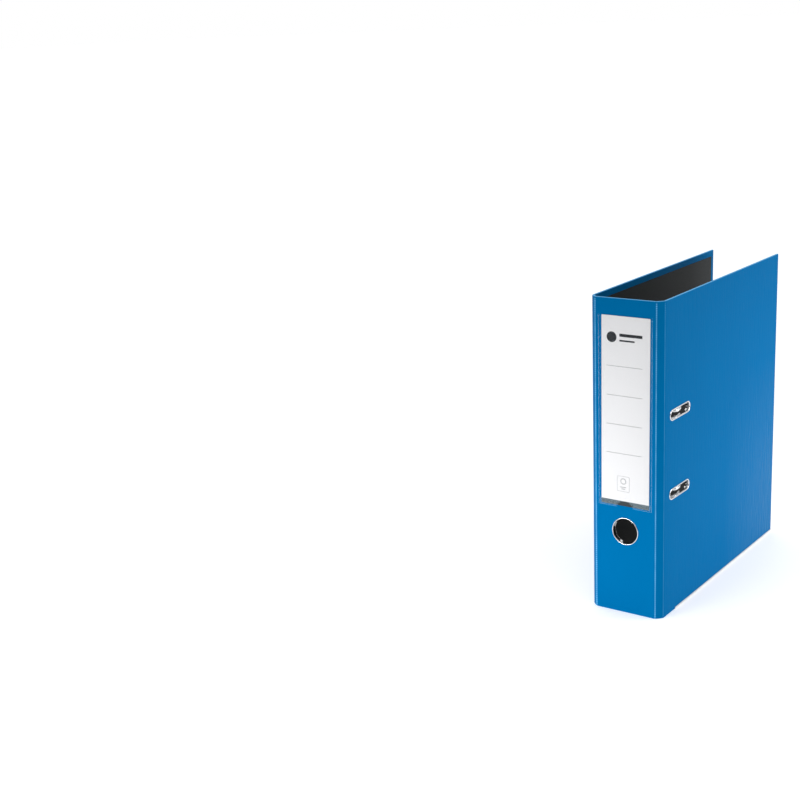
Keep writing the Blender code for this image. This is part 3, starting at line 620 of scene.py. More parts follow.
def fold_piece(name, fold, columns, rows, corners, cutters, bodies, slot, nodes):
    """A closed sheet with the fold's section, bent at the crease and unrolled for its material."""
    bm, sides = grid_sheet(columns, rows, "stretch", corners)
    uv = bm.loops.layers.uv.new("UVMap")
    unrolled = {}
    for side in sides:
        for s, column in zip(columns, side):
            for vert in column:
                unrolled[vert] = (fold.start + s, vert.co.z)
    for face in bm.faces:
        for loop in face.loops:
            loop[uv].uv = unrolled[loop.vert]
    item = object_from(name, bm, weld=False)
    if cutters:
        combine(item, cutters)
    add_piece(item, None, slot, nodes)
    fold.bend(item, bodies)


def pucker(z):
    """Small uneven gathers along a crease, 0 to 1."""
    slow = 0.5 + 0.5 * sin(2 * pi * z / (31 * MM) + 1.3 * sin(2 * pi * z / (57 * MM)))
    return (0.5 + 0.5 * sin(2 * pi * z / PUCKER_PITCH)) * (0.55 + 0.45 * slow)


def case_skin(number, bodies, name, nodes, cutters):
    """One stretch of the film-covered boards: the halves of two boards and the crease between them."""
    fold = Fold(number)
    columns = stations(fold, [x * MM for x in (0.12, 0.25, 0.4, 0.55, 0.7, 0.85, 1.0, 1.2, 1.5, 2.2)], 0)
    shoe_end = None
    if any(fold.rims):
        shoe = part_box("rear_edge_shoe" if fold.rims[0] else "front_edge_shoe")[0].y
        shoe_end = shoe - HOLE_GAP - fold.crease.y
        sign = -1 if fold.rims[0] else 1
        columns = sorted(columns + [sign * shoe_end - 0.05 * MM, sign * shoe_end + 0.05 * MM])
    shares = (0.0, 0.1, 0.3, 0.6)
    count = int((HEIGHT - 2 * RIM) / (HEIGHT / ROWS))
    rows = [RIM * share for share in shares]
    rows += [RIM + (HEIGHT - 2 * RIM) * i / count for i in range(count + 1)]
    rows += [HEIGHT - RIM * share for share in reversed(shares)]

    def rounding(s, z):
        """How far the rounded edge lies inside the face."""
        edge = RIM
        for leg, sign in ((0, -1), (1, 1)):
            if fold.rims[leg]:
                edge = min(max(fold.reach[leg] - sign * s, 0.0), RIM)
        away = (RIM - min(z, HEIGHT - z, RIM)) ** 2 + (RIM - edge) ** 2
        return RIM - sqrt(max(RIM**2 - away, 0.0))

    # Dotted pale line along the crease: stretched film and a painted highlight.
    def stretch_and_highlight(s, z):
        dotted = min(1.7 * bump(s, 0, CREASE_LINE[number]) * (0.1 + 0.9 * pucker(z)), 1.0)
        return CREASE_STRETCH_AND_HIGHLIGHT[number] * dotted * smoothstep((HEIGHT - z) / (4 * MM))

    def corners(s, z):
        groove = bump(s, 0, GROOVE_WIDTH)
        gather = PUCKER * pucker(z) * bump(abs(s), PUCKER_PLACE, PUCKER_WIDTH)
        inset = rounding(s, z)
        outer = HALF_BOARD - GROOVE_DEPTH * groove - gather - inset
        inner = inset - (HALF_BOARD - GROOVE_INSIDE * groove)
        # Paler film round the rounded rims: stretched film and a painted highlight.
        rim_stretch_and_highlight = min(inset / RIM * 2, 1.0)
        level = z
        if shoe_end is not None and abs(s) >= abs(shoe_end) and z <= 2 * MM:
            level = SHOE_RECESS + z * (2 * MM - SHOE_RECESS) / (2 * MM)
        outside = (fold.point(s, outer, level), max(rim_stretch_and_highlight, stretch_and_highlight(s, z)))
        return outside, (fold.point(s, inner, level), rim_stretch_and_highlight)

    fold_piece(name, fold, columns, rows, corners, cutters, bodies, "film", nodes)


def lining_sheet(number, bodies, name, nodes, cutters):
    """The dark paper glued over the inside of the same stretch, short of the outer edges."""
    fold = Fold(number)
    low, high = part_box("spine_lining")
    inset = FORE_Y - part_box("front_lining")[1].y
    columns = stations(fold, [x * MM for x in (0.62, 0.75, 0.95, 1.3)], inset)
    rows = [low.z + (high.z - low.z) * i / 40 for i in range(41)]

    def corners(s, z):
        near_face = 0.25 * MM * bump(s, 0, 0.8 * MM) - HALF_BOARD - LINING_GLUE
        return (fold.point(s, near_face, z), 0.0), (fold.point(s, near_face - LINING_SHEET, z), 0.0)

    fold_piece(name, fold, columns, rows, corners, cutters, bodies, "lining", nodes)


def ring_hole():
    reach = Y_AXIS * 2 * BOARD
    centre = Vector((0, SPINE_Y, NodeBox("finger_ring").centre.z))
    return [rod("ring_hole", centre - reach / 2, centre + reach, RING_HOLE, 96)]


def slot_outline(node, grow):
    """The slot's opening, grown by some distance, as (y, z) about the slot's middle."""
    size = NodeBox(node).size
    length = size.y - 2 * SLOT_FLANGE + 2 * grow
    height = size.z - 2 * SLOT_FLANGE + 2 * grow
    return rounded_outline(length, height, height / 2 - 0.01 * MM, 12)


def slot_holes():
    holes = []
    for node in ("slot_eyelet_lower", "slot_eyelet_upper"):
        centre = NodeBox(node).centre
        centre.x = FRONT_OUTER
        outline = slot_outline(node, SLOT_WALL + HOLE_GAP)
        holes.append(sheet("slot_hole", [outline], 6 * BOARD, centre, Y_AXIS, Z_AXIS))
    return holes


def rivet_holes():
    centres = [NodeBox("cover_rivet_" + str(number)).centre for number in range(1, 5)]
    reach = X_AXIS * 3 * BOARD
    return [rod("rivet_hole", centre - reach, centre + reach, RIVET_HOLE, 24) for centre in centres]


def case():
    """Film-covered boards and lining, as four stretches, each bent at one of the four creases."""
    stretches = (
        ("rear", ("rear_cover", "rear_hinge"), ("rear_cover_board",), "rear", rivet_holes),
        ("rear_spine", ("rear_hinge", "spine"), ("rear_hinge_strip", "spine_board"), "spine", ring_hole),
        ("front_spine", ("spine", "front_hinge"), ("spine_board", "front_hinge_strip"), "spine", ring_hole),
        ("front", ("front_hinge", "front_cover"), ("front_cover_board",), "front", slot_holes),
    )
    for number, (name, bodies, boards, paper, cutters) in enumerate(stretches):
        case_skin(number, bodies, name + "_case_film", boards, cutters())
        lining_sheet(number, bodies, name + "_lining_sheet", [paper + "_lining"], cutters())


def edge_shoe(body, node):
    """Folded metal channel on the bottom edge of a cover, with rounded folds and softly pressed ends."""
    box = NodeBox(node)
    half, length, tall = box.half.x, box.size.y, box.size.z
    metal, fold, press, tip = 0.3 * MM, 0.75 * MM, 1.2 * MM, 0.3 * MM
    right, left = (half - fold, fold), (fold - half, fold)
    profile = [(half, tall), *arc(right, fold, 0, -90, 6), *arc(left, fold, -90, -180, 6), (-half, tall)]
    profile += [(metal - half, tall), *arc(left, fold - metal, 180, 270, 6)]
    profile += [*arc(right, fold - metal, -90, 0, 6), (half - metal, tall)]
    rings = []
    for along in (0.0, tip, press, length / 2, length - press, length - tip, length):
        pinch = 1.0 - 0.02 * (1 - smoothstep(min(along, length - along) / press))
        start = Vector((box.centre.x, box.low.y + along, box.low.z))
        rings.append(section(start, X_AXIS * pinch, Z_AXIS, profile))
    add_piece(skin(node.replace("edge_shoe", "metal_edge"), rings), body, "shoe", [node])


def rolled_bead(inner, crest, outer, top, steps):
    """Profile of a bead, from its inner foot over its crest to its outer foot; a foot is (across, level)."""
    points = []
    for (foot, level), start, end, count in ((inner, 180, 90, steps[0]), (outer, 90, 0, steps[1])):
        for i in range(1, count + 1):
            turn = radians(start + (end - start) * i / count)
            points.append((crest + abs(crest - foot) * cos(turn), level + (top - level) * sin(turn)))
    return points


def finger_ring():
    """Chromed ring with a rolled bead outside, a deep collar and a lip crimped over its washer."""
    box = NodeBox("finger_ring")
    centre = Vector((0, SPINE_Y, box.centre.z))
    proud = 0.85 * (SPINE_Y - box.low.y)
    throat = (RING_COLLAR - 0.3 * MM, -0.35 * MM)
    profile = [(RING_BORE, -3.4 * MM), throat]
    profile += rolled_bead(throat, RING_RADIUS - 0.55 * MM, (RING_RADIUS, 0.14 * MM), proud, (9, 8))
    profile.append((RING_RADIUS - 0.15 * MM, 0.04 * MM))
    lip = mm((0.2, 0.03), (0, -0.1), (0, -3.3), (0.15, -3.6), (0.9, -3.65), (1.15, -3.9), (0.8, -4.2))
    profile += [(RING_COLLAR + across, level) for across, level in lip]
    profile += [(RING_BORE + across, level) for across, level in mm((0.6, -4.3), (0.12, -4.0))]
    turned("finger_ring_bead", ("spine", "chrome", "finger_ring"), profile, centre, -Y_AXIS, 96, closed=True)
    washer = NodeBox("finger_ring_washer")
    near, far = washer.v
    edge, soft = washer.half.x, 0.15 * MM
    profile = [(edge - soft, -near), (edge, -near - soft), (edge, -far + soft), (edge - soft, -far)]
    profile += [(RING_HOLE + soft, -far), (RING_HOLE, -far + soft), (RING_HOLE, -near - soft)]
    profile.append((RING_HOLE + soft, -near))
    piece = ("spine", "chrome", "finger_ring_washer")
    turned("finger_ring_back_washer", piece, profile, centre, -Y_AXIS, 72, closed=True, sharp=30)


def slot_pieces(level):
    """The chromed eyelet with its rolled rim, and the washer that it is crimped on."""
    node = "slot_eyelet_" + level
    eyelet = NodeBox(node)
    back = FRONT_OUTER + 0.04 * MM
    throat = (SLOT_WALL - 0.25 * MM, FRONT_OUTER - 0.35 * MM)
    end, soft = eyelet.low.x, 0.15 * MM
    profile = [(0.0, end + soft), throat]
    profile += rolled_bead(throat, SLOT_RIM - 0.55 * MM, (SLOT_RIM, back + 0.06 * MM), eyelet.high.x, (8, 6))
    profile += [(SLOT_RIM - 0.1 * MM, back), (SLOT_WALL + 0.1 * MM, back), (SLOT_WALL, back - 0.1 * MM)]
    profile += [(SLOT_WALL, end + soft), (SLOT_WALL - soft, end), (soft, end)]
    rings = []
    for grow, x in profile:
        start = Vector((x, eyelet.centre.y, eyelet.centre.z))
        rings.append(section(start, Y_AXIS, Z_AXIS, slot_outline(node, grow)))
    item = skin("arch_slot_rim_" + level, rings, join_ends=True, sharp=50)
    add_piece(item, "front_cover", "chrome", [node])
    washer = NodeBox("slot_washer_" + level)
    outer = (washer.size.y - eyelet.size.y) / 2 + SLOT_FLANGE
    outlines = [slot_outline(node, outer), slot_outline(node, SLOT_WALL + 0.05 * MM)]
    name = "arch_slot_washer_" + level
    item = sheet(name, outlines, washer.size.x, washer.centre, Y_AXIS, Z_AXIS, 0.1 * MM)
    add_piece(item, "front_cover", "steel", ["slot_washer_" + level])


# ---------------------------------------------------------------- label


def pocket():
    """Clear pocket: one film welded to the spine along three edges and standing off it over the label."""
    box = NodeBox("label_pocket")
    card_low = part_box("label_card")[0].z
    seam = card_low - box.low.z - 0.3 * MM
    half = box.half.x
    film, glue = 0.12 * MM, 0.2 * MM
    proud = SPINE_Y - box.low.y
    near = [x * MM for x in (0.0, 0.25, 0.7, 1.1, 1.5, 1.7, 1.9, 2.1)]
    spread = [(half - near[-1]) * (i / 9 - 1) for i in range(1, 18)]
    columns = [x - half for x in near] + spread + [half - x for x in reversed(near)]
    count = int(box.size.z / (0.42 * MM))
    rows = [box.low.z + box.size.z * i / count for i in range(count + 1)]

    def corners(x, z):
        edge = min(half - abs(x), z - box.low.z)
        rise = smoothstep((edge - (seam - 0.35 * MM)) / (0.75 * MM))
        weld = bump(edge, 0.75 * MM, 0.35 * MM) * (1 - rise)
        ridge = 0.012 * MM * weld * (0.5 + 0.5 * sin(2 * pi * (z + x) / (1.7 * MM)))
        outer = SPINE_Y - (glue + film + (proud - glue - film) * rise + ridge)
        frost = smoothstep((card_low + 5.4 * MM - z) / (0.5 * MM)) * rise
        # The strong value along the cut edges is a painted edge highlight.
        haze_and_edge_highlight = 0.01 + 0.08 * frost + 0.34 * (bump(edge, 0, 0.3 * MM) + 0.03 * weld)
        return (Vector((x, outer, z)), haze_and_edge_highlight), (Vector((x, outer + film, z)), haze_and_edge_highlight)

    bm, _ = grid_sheet(columns, rows, "haze_and_edge_highlight", corners)
    item = object_from("label_pocket_film", bm)
    radius = 8.7 * MM
    notch = Vector((0, SPINE_Y - 3 * MM, box.low.z + 6.6 * MM - radius))
    combine(item, [rod("notch", notch, notch + Y_AXIS * 6 * MM, radius, 96)])
    add_piece(item, "spine", "pocket", ["label_pocket"])


def label():
    """The card, white above and dark along its bottom edge, with what is printed on it."""
    box = NodeBox("label_card")
    band = box.low.z + 4.9 * MM
    outline = rounded_outline(box.size.x - 2 * LABEL_PLAY, box.size.z, 0.8 * MM, 5)
    card = sheet("label_insert", [outline], box.size.y, box.centre, X_AXIS, Z_AXIS, 0.05 * MM)
    bm = bmesh.new()
    bm.from_mesh(card.data)
    geometry = bm.verts[:] + bm.edges[:] + bm.faces[:]
    bmesh.ops.bisect_plane(bm, geom=geometry, plane_co=Z_AXIS * band, plane_no=Z_AXIS)
    bm.to_mesh(card.data)
    bm.free()
    add_piece(card, "label", "label", ["label_card"], ("label", "band"))
    for polygon in card.data.polygons:
        polygon.material_index = int(polygon.center.z < band)
    foot = Matrix.Translation((0, 0, box.low.z))
    tilt = foot @ Matrix.Rotation(LABEL_TILT, 4, "Y") @ foot.inverted()
    for item in (card, *print_on_label(box)):
        item.data.transform(tilt)


def print_on_label(box):
    """Ink: four writing lines, a frame with a ring and two bars, and a disc with two bars as header."""
    left, right = -20 * MM, 17.5 * MM

    def mark(outlines, x, z):
        place_on_card = Vector((x, box.low.y - 0.012 * MM, z))
        return sheet("mark", outlines, 0.02 * MM, place_on_card, X_AXIS, Z_AXIS)

    rule = rounded_outline(right - left, 0.55 * MM, 0.2 * MM, 2, ((left + right) / 2, 0))
    lines = [mark([rule], 0, box.high.z - (49 + 28.9 * i) * MM) for i in range(4)]
    x, z = -1.9 * MM, box.low.z + 22.6 * MM
    wide, tall, stroke = 13.4 * MM, 15.7 * MM, 0.7 * MM
    outer = rounded_outline(wide, tall, 1.2 * MM, 4)
    inner = rounded_outline(wide - stroke, tall - stroke, 0.9 * MM, 4)
    lines.append(mark([outer, inner], x, z))
    lines.append(mark([circle(3.1 * MM), circle(2.3 * MM)], x, z + 2.6 * MM))
    for width, drop in mm((6.4, 3.4), (4.0, 5.2)):
        lines.append(mark([rounded_outline(width, 0.8 * MM, 0.3 * MM, 2)], x, z - drop))
    z = box.high.z - 20.8 * MM
    header = [mark([circle(5.2 * MM, count=45)], left + 5.2 * MM, z)]
    for up, (width, tall) in zip((2.4 * MM, -2.9 * MM), mm((24, 3.0), (16, 1.6))):
        bar = rounded_outline(width, tall, 0.4 * MM, 3, (width / 2, 0))
        header.append(mark([bar], left + 13.4 * MM, z + up))
    printed = []
    for name, ink, marks in (("label_lines", "line", lines), ("label_header_marks", "ink", header)):
        printed.append(add_piece(join(name, marks), "label", "label", [], (ink,)))
    return printed


def join(name, items):
    """One object that holds the closed bodies of several."""
    bm = bmesh.new()
    for item in items:
        bm.from_mesh(item.data)
        bpy.data.meshes.remove(item.data)
    return object_from(name, bm, weld=False)


# ---------------------------------------------------------------- mechanism


AXLE_U, AXLE_V, _ = measures(PIVOTS["arch_swing"])
LEVER_U, LEVER_V, LEVER_Z = measures(PIVOTS["lever_lift"])
POSTS = [NodeBox("post_lower"), NodeBox("post_upper")]
POST_V = sum(POSTS[0].v) / 2
ARCH_Z = [post.centre.z for post in POSTS]


def arch_profile():
    """One arch in its plane as (v, u): up the leg, over on an arc about the axle, and down to the post."""
    axle = (AXLE_V, AXLE_U)
    leg_v = AXLE_V + ARCH_LEG_BEND
    leg_u = AXLE_U + sqrt((ARCH_RADIUS - ARCH_LEG_BEND) ** 2 - ARCH_LEG_BEND**2)
    post_v = POST_V - ARCH_POST_BEND
    post_u = AXLE_U + sqrt((ARCH_RADIUS - ARCH_POST_BEND) ** 2 - (post_v - AXLE_V) ** 2)
    leg_angle = degrees(atan2(leg_u - AXLE_U, leg_v - AXLE_V))
    post_angle = degrees(atan2(post_u - AXLE_U, post_v - AXLE_V))
    points = [axle, (AXLE_V, (AXLE_U + leg_u) / 2)]
    points += arc((leg_v, leg_u), ARCH_LEG_BEND, 180, leg_angle, 16)
    points += arc(axle, ARCH_RADIUS, leg_angle, post_angle, 6)[1:-1]
    points += arc((post_v, post_u), ARCH_POST_BEND, post_angle, 0, 14)
    return [*points, (POST_V, POSTS[0].u[1] + 0.5 * MM)]


def arch_wires():
    """Both arches, the axle and the crank: one bent wire, with the upper arch welded on."""
    profile = arch_profile()
    lower, upper = ARCH_Z
    axle = (AXLE_U, AXLE_V)
    crank = (AXLE_U + CRANK * sin(CRANK_ANGLE), AXLE_V - CRANK * cos(CRANK_ANGLE))
    tail = [place(AXLE_U + 12 * MM, AXLE_V, lower), place(*axle, lower), place(*axle, CRANK_Z[0])]
    tail += [place(*crank, CRANK_Z[0]), place(*crank, CRANK_Z[1]), place(*axle, CRANK_Z[1])]
    tail.append(place(*axle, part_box("arch_wire")[1].z))
    path = [place(u, v, lower) for v, u in reversed(profile[1:])] + rounded_corners(tail, 4 * MM)
    item = wire("arch_wire_bent", path)
    upper_arch = wire("upper_arch", [place(u, v, upper) for v, u in profile], round_start=False)
    combine(item, [upper_arch], "UNION", 50)
    add_piece(item, "arches", "chrome", ["arch_wire"])


def flat_plate(name, node, thick, corner, hole, levels, edge, windows=()):
    """A plate over the low side of a node's box, with holes for the posts and windows about its middle."""
    box = NodeBox(node)
    v, z = sum(box.v) / 2, sum(box.z) / 2
    outlines = [rounded_outline(box.v[1] - box.v[0], box.z[1] - box.z[0], corner)]
    outlines += [circle(hole, (POST_V - v, level - z)) for level in levels]
    outlines += windows
    return sheet(name, outlines, thick, place(box.u[0] + thick / 2, v, z), Y_AXIS, Z_AXIS, edge)


def saddle(low, high):
    """A strap bent over the axle, standing on the plate."""
    inner, plate_top = WIRE + 0.3 * MM, 1.4 * MM
    outline = mm((5.4, 1.4), (5.4, 2.6), (4.1, 3.1)) + arc((0, AXLE_U), 3.6 * MM, 0, 180, 16)
    outline += mm((-4.1, 3.1), (-5.4, 2.6), (-5.4, 1.4)) + [(-inner, plate_top)]
    outline += arc((0, AXLE_U), inner, 180, 0, 16) + [(inner, plate_top)]
    centre = place(0, AXLE_V, (low + high) / 2)
    return sheet("saddle", [outline], high - low, centre, Y_AXIS, X_AXIS, 0.2 * MM)


def lug(v):
    """A tongue of the plate with a round end that holds the lever's pin."""
    radius = 4.5 * MM
    outline = mm((6.5, 1.3), (5.5, 2.4), (4.5, 4.2)) + arc((0, LEVER_U), radius, 0, 180, 20)
    outline += mm((-4.5, 4.2), (-5.5, 2.4), (-6.5, 1.3))
    outlines = [outline, circle(1.65 * MM, (0, LEVER_U))]
    return sheet("lug", outlines, PLATE_SHEET, place(0, v, LEVER_Z), Z_AXIS, X_AXIS, 0.15 * MM)


def base_plate():
    """Pressed steel plate with two long ribs, the saddles of the arch wire and the lever's lugs."""
    name = "lever_arch_base_plate"
    plate = flat_plate(name, "base_plate", PLATE_SHEET, 4 * MM, 2.4 * MM, ARCH_Z, 0.18 * MM)
    additions = [saddle(*span) for span in mm((136, 143), (185, 192), (208.5, 213.5), (241.5, 247))]
    reach = LEVER_INSIDE + LEVER_SHEET + 0.3 * MM + PLATE_SHEET / 2
    additions += [lug(LEVER_V - reach), lug(LEVER_V + reach)]
    rib_u = NodeBox("base_plate").u[0] + PLATE_SHEET + 0.1 * MM
    for v, (low, high) in zip((22.5 * MM, 44.5 * MM), mm((117, 196), (132, 196))):
        outline = rounded_outline(4.2 * MM, high - low, 2.05 * MM)
        centre = place(rib_u, v, (low + high) / 2)
        additions.append(sheet("rib", [outline], 1.3 * MM, centre, Y_AXIS, Z_AXIS, 0.5 * MM))
    combine(plate, additions, "UNION")
    add_piece(plate, "rear_cover", "steel", ["base_plate"])


def dome(radius, height, base, steps=6):
    """Profile of a low dome, from its top to its edge."""
    turns = [radians(90 - 90 * i / steps) for i in range(steps + 1)]
    return [(radius * cos(turn), base + height * sin(turn)) for turn in turns]


def on_inner_face(box):
    """The point on the rear cover's inner face that a rivet or a post goes through."""
    return Vector((REAR_INNER, box.centre.y, box.centre.z))


def rivets_and_posts():
    """Rivets through the rear cover and the two posts."""
    for number in range(1, 5):
        node = "cover_rivet_" + str(number)
        box = NodeBox(node)
        bottom, top = box.u
        head, shank = box.half.y, RIVET_HOLE - 0.3 * MM
        crimp = mm((0, 0), (0.7, 0), (0.9, 0.25), (1.5, 0.25), (1.9, 0.02), (2.5, 0.1))
        crimp += mm((3.1, 0.45), (3.1, 0.8))
        profile = [(across, top - drop) for across, drop in crimp]
        profile += [(shank, top - 0.8 * MM), (shank, bottom + 0.55 * MM)]
        profile += [(head, bottom + 0.55 * MM), (head, bottom + 0.42 * MM)]
        profile += [(across, -up) for across, up in reversed(dome(head, 0.42 * MM, -bottom - 0.42 * MM))]
        piece = ("rear_cover", "steel", node)
        turned("cover_rivet_head_" + str(number), piece, profile, on_inner_face(box), X_AXIS, 40)
    for level, box in zip(("lower", "upper"), POSTS):
        bottom, top = box.u
        flange, radius, collar = box.half.y, 2.1 * MM, 2.1 * MM
        tip = mm((0, 1.3), (0.5, 1.1), (1.05, 0.15), (1.3, 0), (1.6, 0.1), (2.1, 0.95))
        profile = [(across, top - drop) for across, drop in tip]
        profile += [(radius, collar + 1.6 * MM), (radius + 0.25 * MM, collar + 1.2 * MM)]
        profile += [(flange - 0.3 * MM, collar + 0.9 * MM), (flange, collar + 0.6 * MM), (flange, collar)]
        profile += [(radius, collar), (radius, bottom), (0, bottom)]
        piece = ("rear_cover", "chrome", "post_" + level)
        turned("fixed_post_" + level, piece, profile, on_inner_face(box), X_AXIS, 40, sharp=40)


def leaf_spring():
    """Flat spring with a rounded free end under the crank, and its rivet."""
    box = NodeBox("leaf_spring")
    thick, edge, steps = 0.5 * MM, 0.12 * MM, 24
    path = []
    for i in range(steps + 1):
        v = box.v[1] + (box.v[0] - box.v[1]) * i / steps
        lift = smoothstep((31 * MM - v) / (15 * MM)) * (box.u[1] - box.u[0] - thick)
        path.append(place(box.u[0] + thick / 2 + lift, v, box.centre.z))
    rings = []
    for i, point in enumerate(path):
        along = (path[min(i + 1, steps)] - path[max(i - 1, 0)]).normalized()
        out = Vector((along.y, -along.x, 0))
        width = box.size.z * (0.82 if i in (0, steps) else 1.0)
        rings.append(section(point, out, Z_AXIS, rounded_outline(thick, width, edge, 3)))
    spring = skin("leaf_spring_strip", rings)
    rivet = NodeBox("spring_rivet")
    reach = X_AXIS * 9 * MM
    combine(spring, [rod("rivet_hole", rivet.centre - reach, rivet.centre + reach, 1.5 * MM, 24)])
    add_piece(spring, "rear_cover", "steel", ["leaf_spring"])
    bottom, top = rivet.u
    head, shank, neck = rivet.half.y, 1.2 * MM, top - 0.75 * MM
    profile = dome(head, 0.6 * MM, top - 0.6 * MM)
    profile += [(head, neck), (shank, neck), (shank, bottom), (0, bottom)]
    piece = ("rear_cover", "steel", "spring_rivet")
    turned("leaf_spring_rivet", piece, profile, on_inner_face(rivet), X_AXIS, 32)


def lever():
    """Folded steel lever: two cheeks round the roller, a crowned web on top and a curled finger tab."""
    roller_z, roller_u = -ROLLER_ARM * cos(ROLLER_ANGLE), ROLLER_ARM * sin(ROLLER_ANGLE)
    boss = 4.2 * MM
    web_low, web_high = roller_u + boss, 3.8 * MM
    web_end = LEVER_LENGTH - 4 * MM
    outline = arc((0, 0), 4.0 * MM, -120, -50, 10) + mm((14, -1.8), (30, -0.9), (48, 0.6))
    outline += [(LEVER_LENGTH - along, up) for along, up in mm((1, 1.2), (0, 1.9), (1, 3.0))]
    outline += [(web_end, web_high), *arc((roller_z, roller_u), boss, 90, 200, 16)]
    centre = place(LEVER_U, LEVER_V, LEVER_Z)
    width = 2 * (LEVER_INSIDE + LEVER_SHEET)
    item = sheet("lift_lever", [outline], width, centre, Z_AXIS, X_AXIS, 0.7 * MM)
    reach = 12 * MM
    slope = (web_high - web_low) / (web_end - roller_z)
    low, high = web_low - LEVER_SHEET, web_high - LEVER_SHEET
    hollow = [(roller_z - reach, -reach), (LEVER_LENGTH + reach, -reach)]
    hollow += [(LEVER_LENGTH + reach, high - 0.3 * (reach + 4 * MM)), (web_end, high)]
    hollow += [(roller_z, low), (roller_z - reach, low - slope * reach)]
    cutters = [sheet("lever_hollow", [hollow], 2 * LEVER_INSIDE, centre, Z_AXIS, X_AXIS)]
    for z, u, radius in ((0, 0, 1.6 * MM), (roller_z, roller_u, 1.15 * MM)):
        start = place(LEVER_U + u, LEVER_V - width, LEVER_Z + z)
        cutters.append(rod("pin_hole", start, start + Y_AXIS * 2 * width, radius, 28))
    combine(item, cutters)
    combine(item, [finger_tab()], "UNION")
    add_piece(item, "lever", "steel", ["lever"])


def finger_tab():
    """The wide tab at the lever's end: a rounded plate, curled outwards towards its tip."""
    box = NodeBox("lever")
    start, end = LEVER_LENGTH - 12.5 * MM, box.high.z - LEVER_Z
    half_thick, dish, curl, corner = 0.5 * MM, 0.25 * MM, 1.6 * MM, 3.6 * MM
    steps, count = 14, 12
    rings = []
    for i in range(steps + 1):
        t = i / steps
        ease = max(corner - min(t, 1 - t) * (end - start), 0) / corner
        half = box.half.y - corner * (1 - sqrt(max(1 - ease**2, 0.0)))
        middle_u = LEVER_U + 3.0 * MM + curl * smoothstep((t - 0.35) / 0.65)
        ring = []
        for sign in (1, -1):
            for k in range(count + 1):
                across = (2 * k / count - 1) * sign
                u = middle_u - dish * (1 - across**2) + sign * half_thick
                ring.append(place(u, LEVER_V + half * across, LEVER_Z + start + (end - start) * t))
        rings.append(ring)
    return bevel(skin("finger_tab", rings), 0.2 * MM)


def pins_and_roller():
    """The lever's pin through the lugs, the roller between its cheeks and the roller's own pin."""
    box = NodeBox("lever_pin")
    half, head, radius = box.half.y, box.half.x, 1.4 * MM
    profile = dome(head, 0.55 * MM, half - 0.55 * MM)
    profile += [(head, half - 0.75 * MM), (radius, half - 0.75 * MM), (radius, 0.3 * MM - half)]
    profile += [(radius - 0.3 * MM, -half), (0, -half)]
    turned("lever_pivot_pin", ("rear_cover", "steel", "lever_pin"), profile, box.centre, -Y_AXIS, 36)
    box = NodeBox("lever_roller")
    half, radius, bush, soft = box.half.y, box.half.x, 1.25 * MM, 0.35 * MM
    profile = [(bush, half), (radius - soft, half)]
    profile += [(radius - 0.1 * MM, half - 0.1 * MM), (radius, half - soft)]
    profile += [(across, -along) for across, along in reversed(profile)]
    turned("crank_roller", ("roller", "steel", "lever_roller"), profile, box.centre, Y_AXIS, 40, closed=True)
    box = NodeBox("roller_pin")
    half, radius, soft = box.half.y, box.half.x, 0.15 * MM
    profile = [(0, half), (radius - soft, half), (radius, half - soft)]
    profile += [(across, -along) for across, along in reversed(profile)]
    turned("crank_roller_pin", ("lever", "steel", "roller_pin"), profile, box.centre, Y_AXIS, 28)


def compressor():
    """Pressed bar with flanges, a finger tab, arch notches and two long windows, and its two clips."""
    node, name = "compressor_bar", "paper_compressor_bar"
    box = NodeBox(node)
    middles = mm((1.5, -15.5), (1.5, 15.5))
    windows = [rounded_outline(7 * MM, 22 * MM, 3.4 * MM, centre=middle) for middle in middles]
    bar = flat_plate(name, node, 1.2 * MM, 3 * MM, 2.5 * MM, ARCH_Z, 0.2 * MM, windows)
    fold = 0.5 * MM
    fore, spine_side = box.v[1] - fold, box.v[0] + fold
    additions = []
    for v, reach, tall in ((fore, 48 * MM, 4 * MM), (fore, 14 * MM, 11 * MM), (spine_side, 32 * MM, 4 * MM)):
        outline = rounded_outline(2 * reach, tall - 0.2 * MM, min(3 * MM, tall / 2 - 0.3 * MM))
        centre = place(box.u[0] + tall / 2 + 0.1 * MM, v, box.centre.z)
        additions.append(sheet("flange", [outline], 2 * fold, centre, Z_AXIS, X_AXIS, 0.15 * MM))
    combine(bar, additions, "UNION")
    half, open_v = WIRE + 0.6 * MM, AXLE_V - 20 * MM
    notches = []
    for z in ARCH_Z:
        notch = [(open_v, z - half), (open_v, z + half), *arc((AXLE_V + 0.4 * MM, z), half, 90, -90, 16)]
        notches.append(sheet("arch_notch", [notch], 8 * MM, place(box.u[0], 0, 0), Y_AXIS, Z_AXIS))
    combine(bar, notches)
    add_piece(bar, "compressor", "steel", [node])
    for level, z in zip(("lower", "upper"), ARCH_Z):
        compressor_clip(level, z, copysign(1, box.centre.z - z))


def compressor_clip(level, z, inward):
    """Small sheet clip round a post, with a bent-up tongue on its side towards the bar's middle."""
    node = "compressor_clip_" + level
    low_u, high_u = NodeBox(node).u
    thick = 0.8 * MM
    clip = flat_plate("post_clip_" + level, node, thick, 2 * MM, 2.4 * MM, [z], 0.15 * MM)
    outline = rounded_outline(6 * MM, high_u - low_u, 1.2 * MM, 6)
    centre = place((low_u + high_u) / 2, POST_V, z + inward * 6.3 * MM)
    combine(clip, [sheet("tongue", [outline], thick, centre, Y_AXIS, X_AXIS, 0.12 * MM)], "UNION")
    add_piece(clip, "compressor", "steel", [node])


# ---------------------------------------------------------------- studio


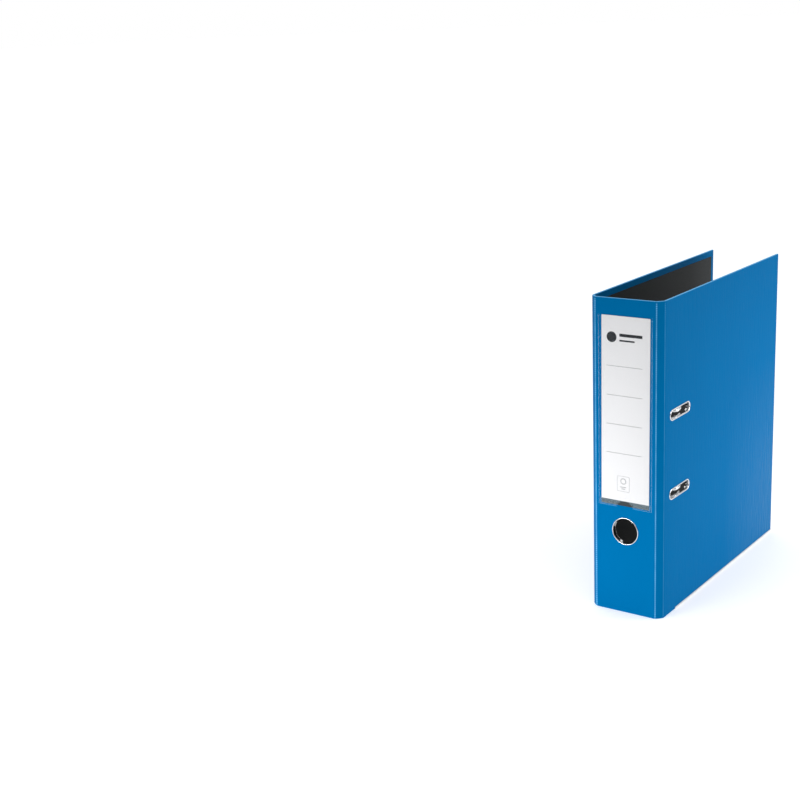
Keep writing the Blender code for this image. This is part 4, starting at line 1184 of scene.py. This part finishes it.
def area_light(name, location, target, size, power, spread):
    """A gridded softbox: its beam is narrow, so it lights the file and hardly the floor below it."""
    light = bpy.data.lights.new(name, "AREA")
    light.shape = "RECTANGLE"
    light.size, light.size_y = size
    light.energy = power
    light.spread = radians(spread)
    item = link(name, light)
    item.location = location
    item.visible_camera = False
    item.rotation_euler = (Vector(target) - Vector(location)).to_track_quat("-Z", "Y").to_euler()


def surround(tree):
    """A pale studio: light comes from overhead and behind the file, and the backdrop is white all round."""
    nodes = Nodes(tree)
    direction = nodes.add("TexCoord", "Generated")

    def toward(axis, low, high, dim, bright):
        """Goes from dim to bright as the direction turns towards the axis."""
        dot = nodes.add("VectorMath", "Value", {"operation": "DOT_PRODUCT"}, i0=direction, i1=axis)
        smooth_steps = {"interpolation_type": "SMOOTHSTEP"}
        return nodes.add("MapRange", 0, smooth_steps, Value=dot, i1=low, i2=high, i3=dim, i4=bright)

    behind = toward((-0.6, 0.8, 0.0), -0.25, 0.8, 0.13, 0.96)
    overhead = toward((0.0, 0.0, 1.0), 0.12, 0.75, 0.0, 1.08)
    light = nodes.maths("MAXIMUM", behind, overhead)
    strength = nodes.maths("MAXIMUM", light, nodes.add("LightPath", "Is Camera Ray"))
    background = tree.nodes["Background"]
    nodes.set(background, "Color", (1.0, 1.0, 1.0))
    nodes.set(background, "Strength", strength)


def studio():
    """Pale floor, two soft lights and the surround."""
    bm = bmesh.new()
    bmesh.ops.create_grid(bm, x_segments=1, y_segments=1, size=60.0)
    floor = object_from("studio_floor", bm)
    floor.location.z = -0.3 * MM
    floor.data.materials.append(floor_material())
    world = bpy.data.worlds.new("studio")
    world.use_nodes = True
    surround(world.node_tree)
    area_light("low_front", (-0.2, -0.6, 0.12), (0.0, -0.14, 0.03), (0.3, 0.1), 0.31, 75)
    area_light("low_right", (0.72, 0.40, 0.22), (0.04, 0.08, 0.08), (0.5, 0.2), 0.68, 70)
    scene = bpy.context.scene
    scene.world = world
    scene.view_settings.view_transform = "Standard"
    scene.view_settings.look = "None"


def camera():
    """The viewing angle: from the right of the spine and a little above, with a slight roll."""
    data = bpy.data.cameras.new("camera")
    data.sensor_width = 36.0
    data.lens = 62.39
    data.clip_start = 0.05
    data.clip_end = 200.0
    item = link("camera", data)
    aim = Matrix.Rotation(CAMERA_AZIMUTH, 4, "Z") @ Matrix.Rotation(pi / 2 - CAMERA_ELEVATION, 4, "X")
    roll = Matrix.Rotation(asin(sin(CAMERA_ROLL) / cos(CAMERA_ELEVATION)), 4, "Z")
    item.matrix_world = Matrix.Translation(CAMERA_PLACE) @ aim @ roll
    bpy.context.scene.camera = item


camera()
studio()
case()
edge_shoe("rear_cover", "rear_edge_shoe")
edge_shoe("front_cover", "front_edge_shoe")
finger_ring()
slot_pieces("lower")
slot_pieces("upper")
pocket()
label()
base_plate()
rivets_and_posts()
arch_wires()
leaf_spring()
lever()
pins_and_roller()
compressor()
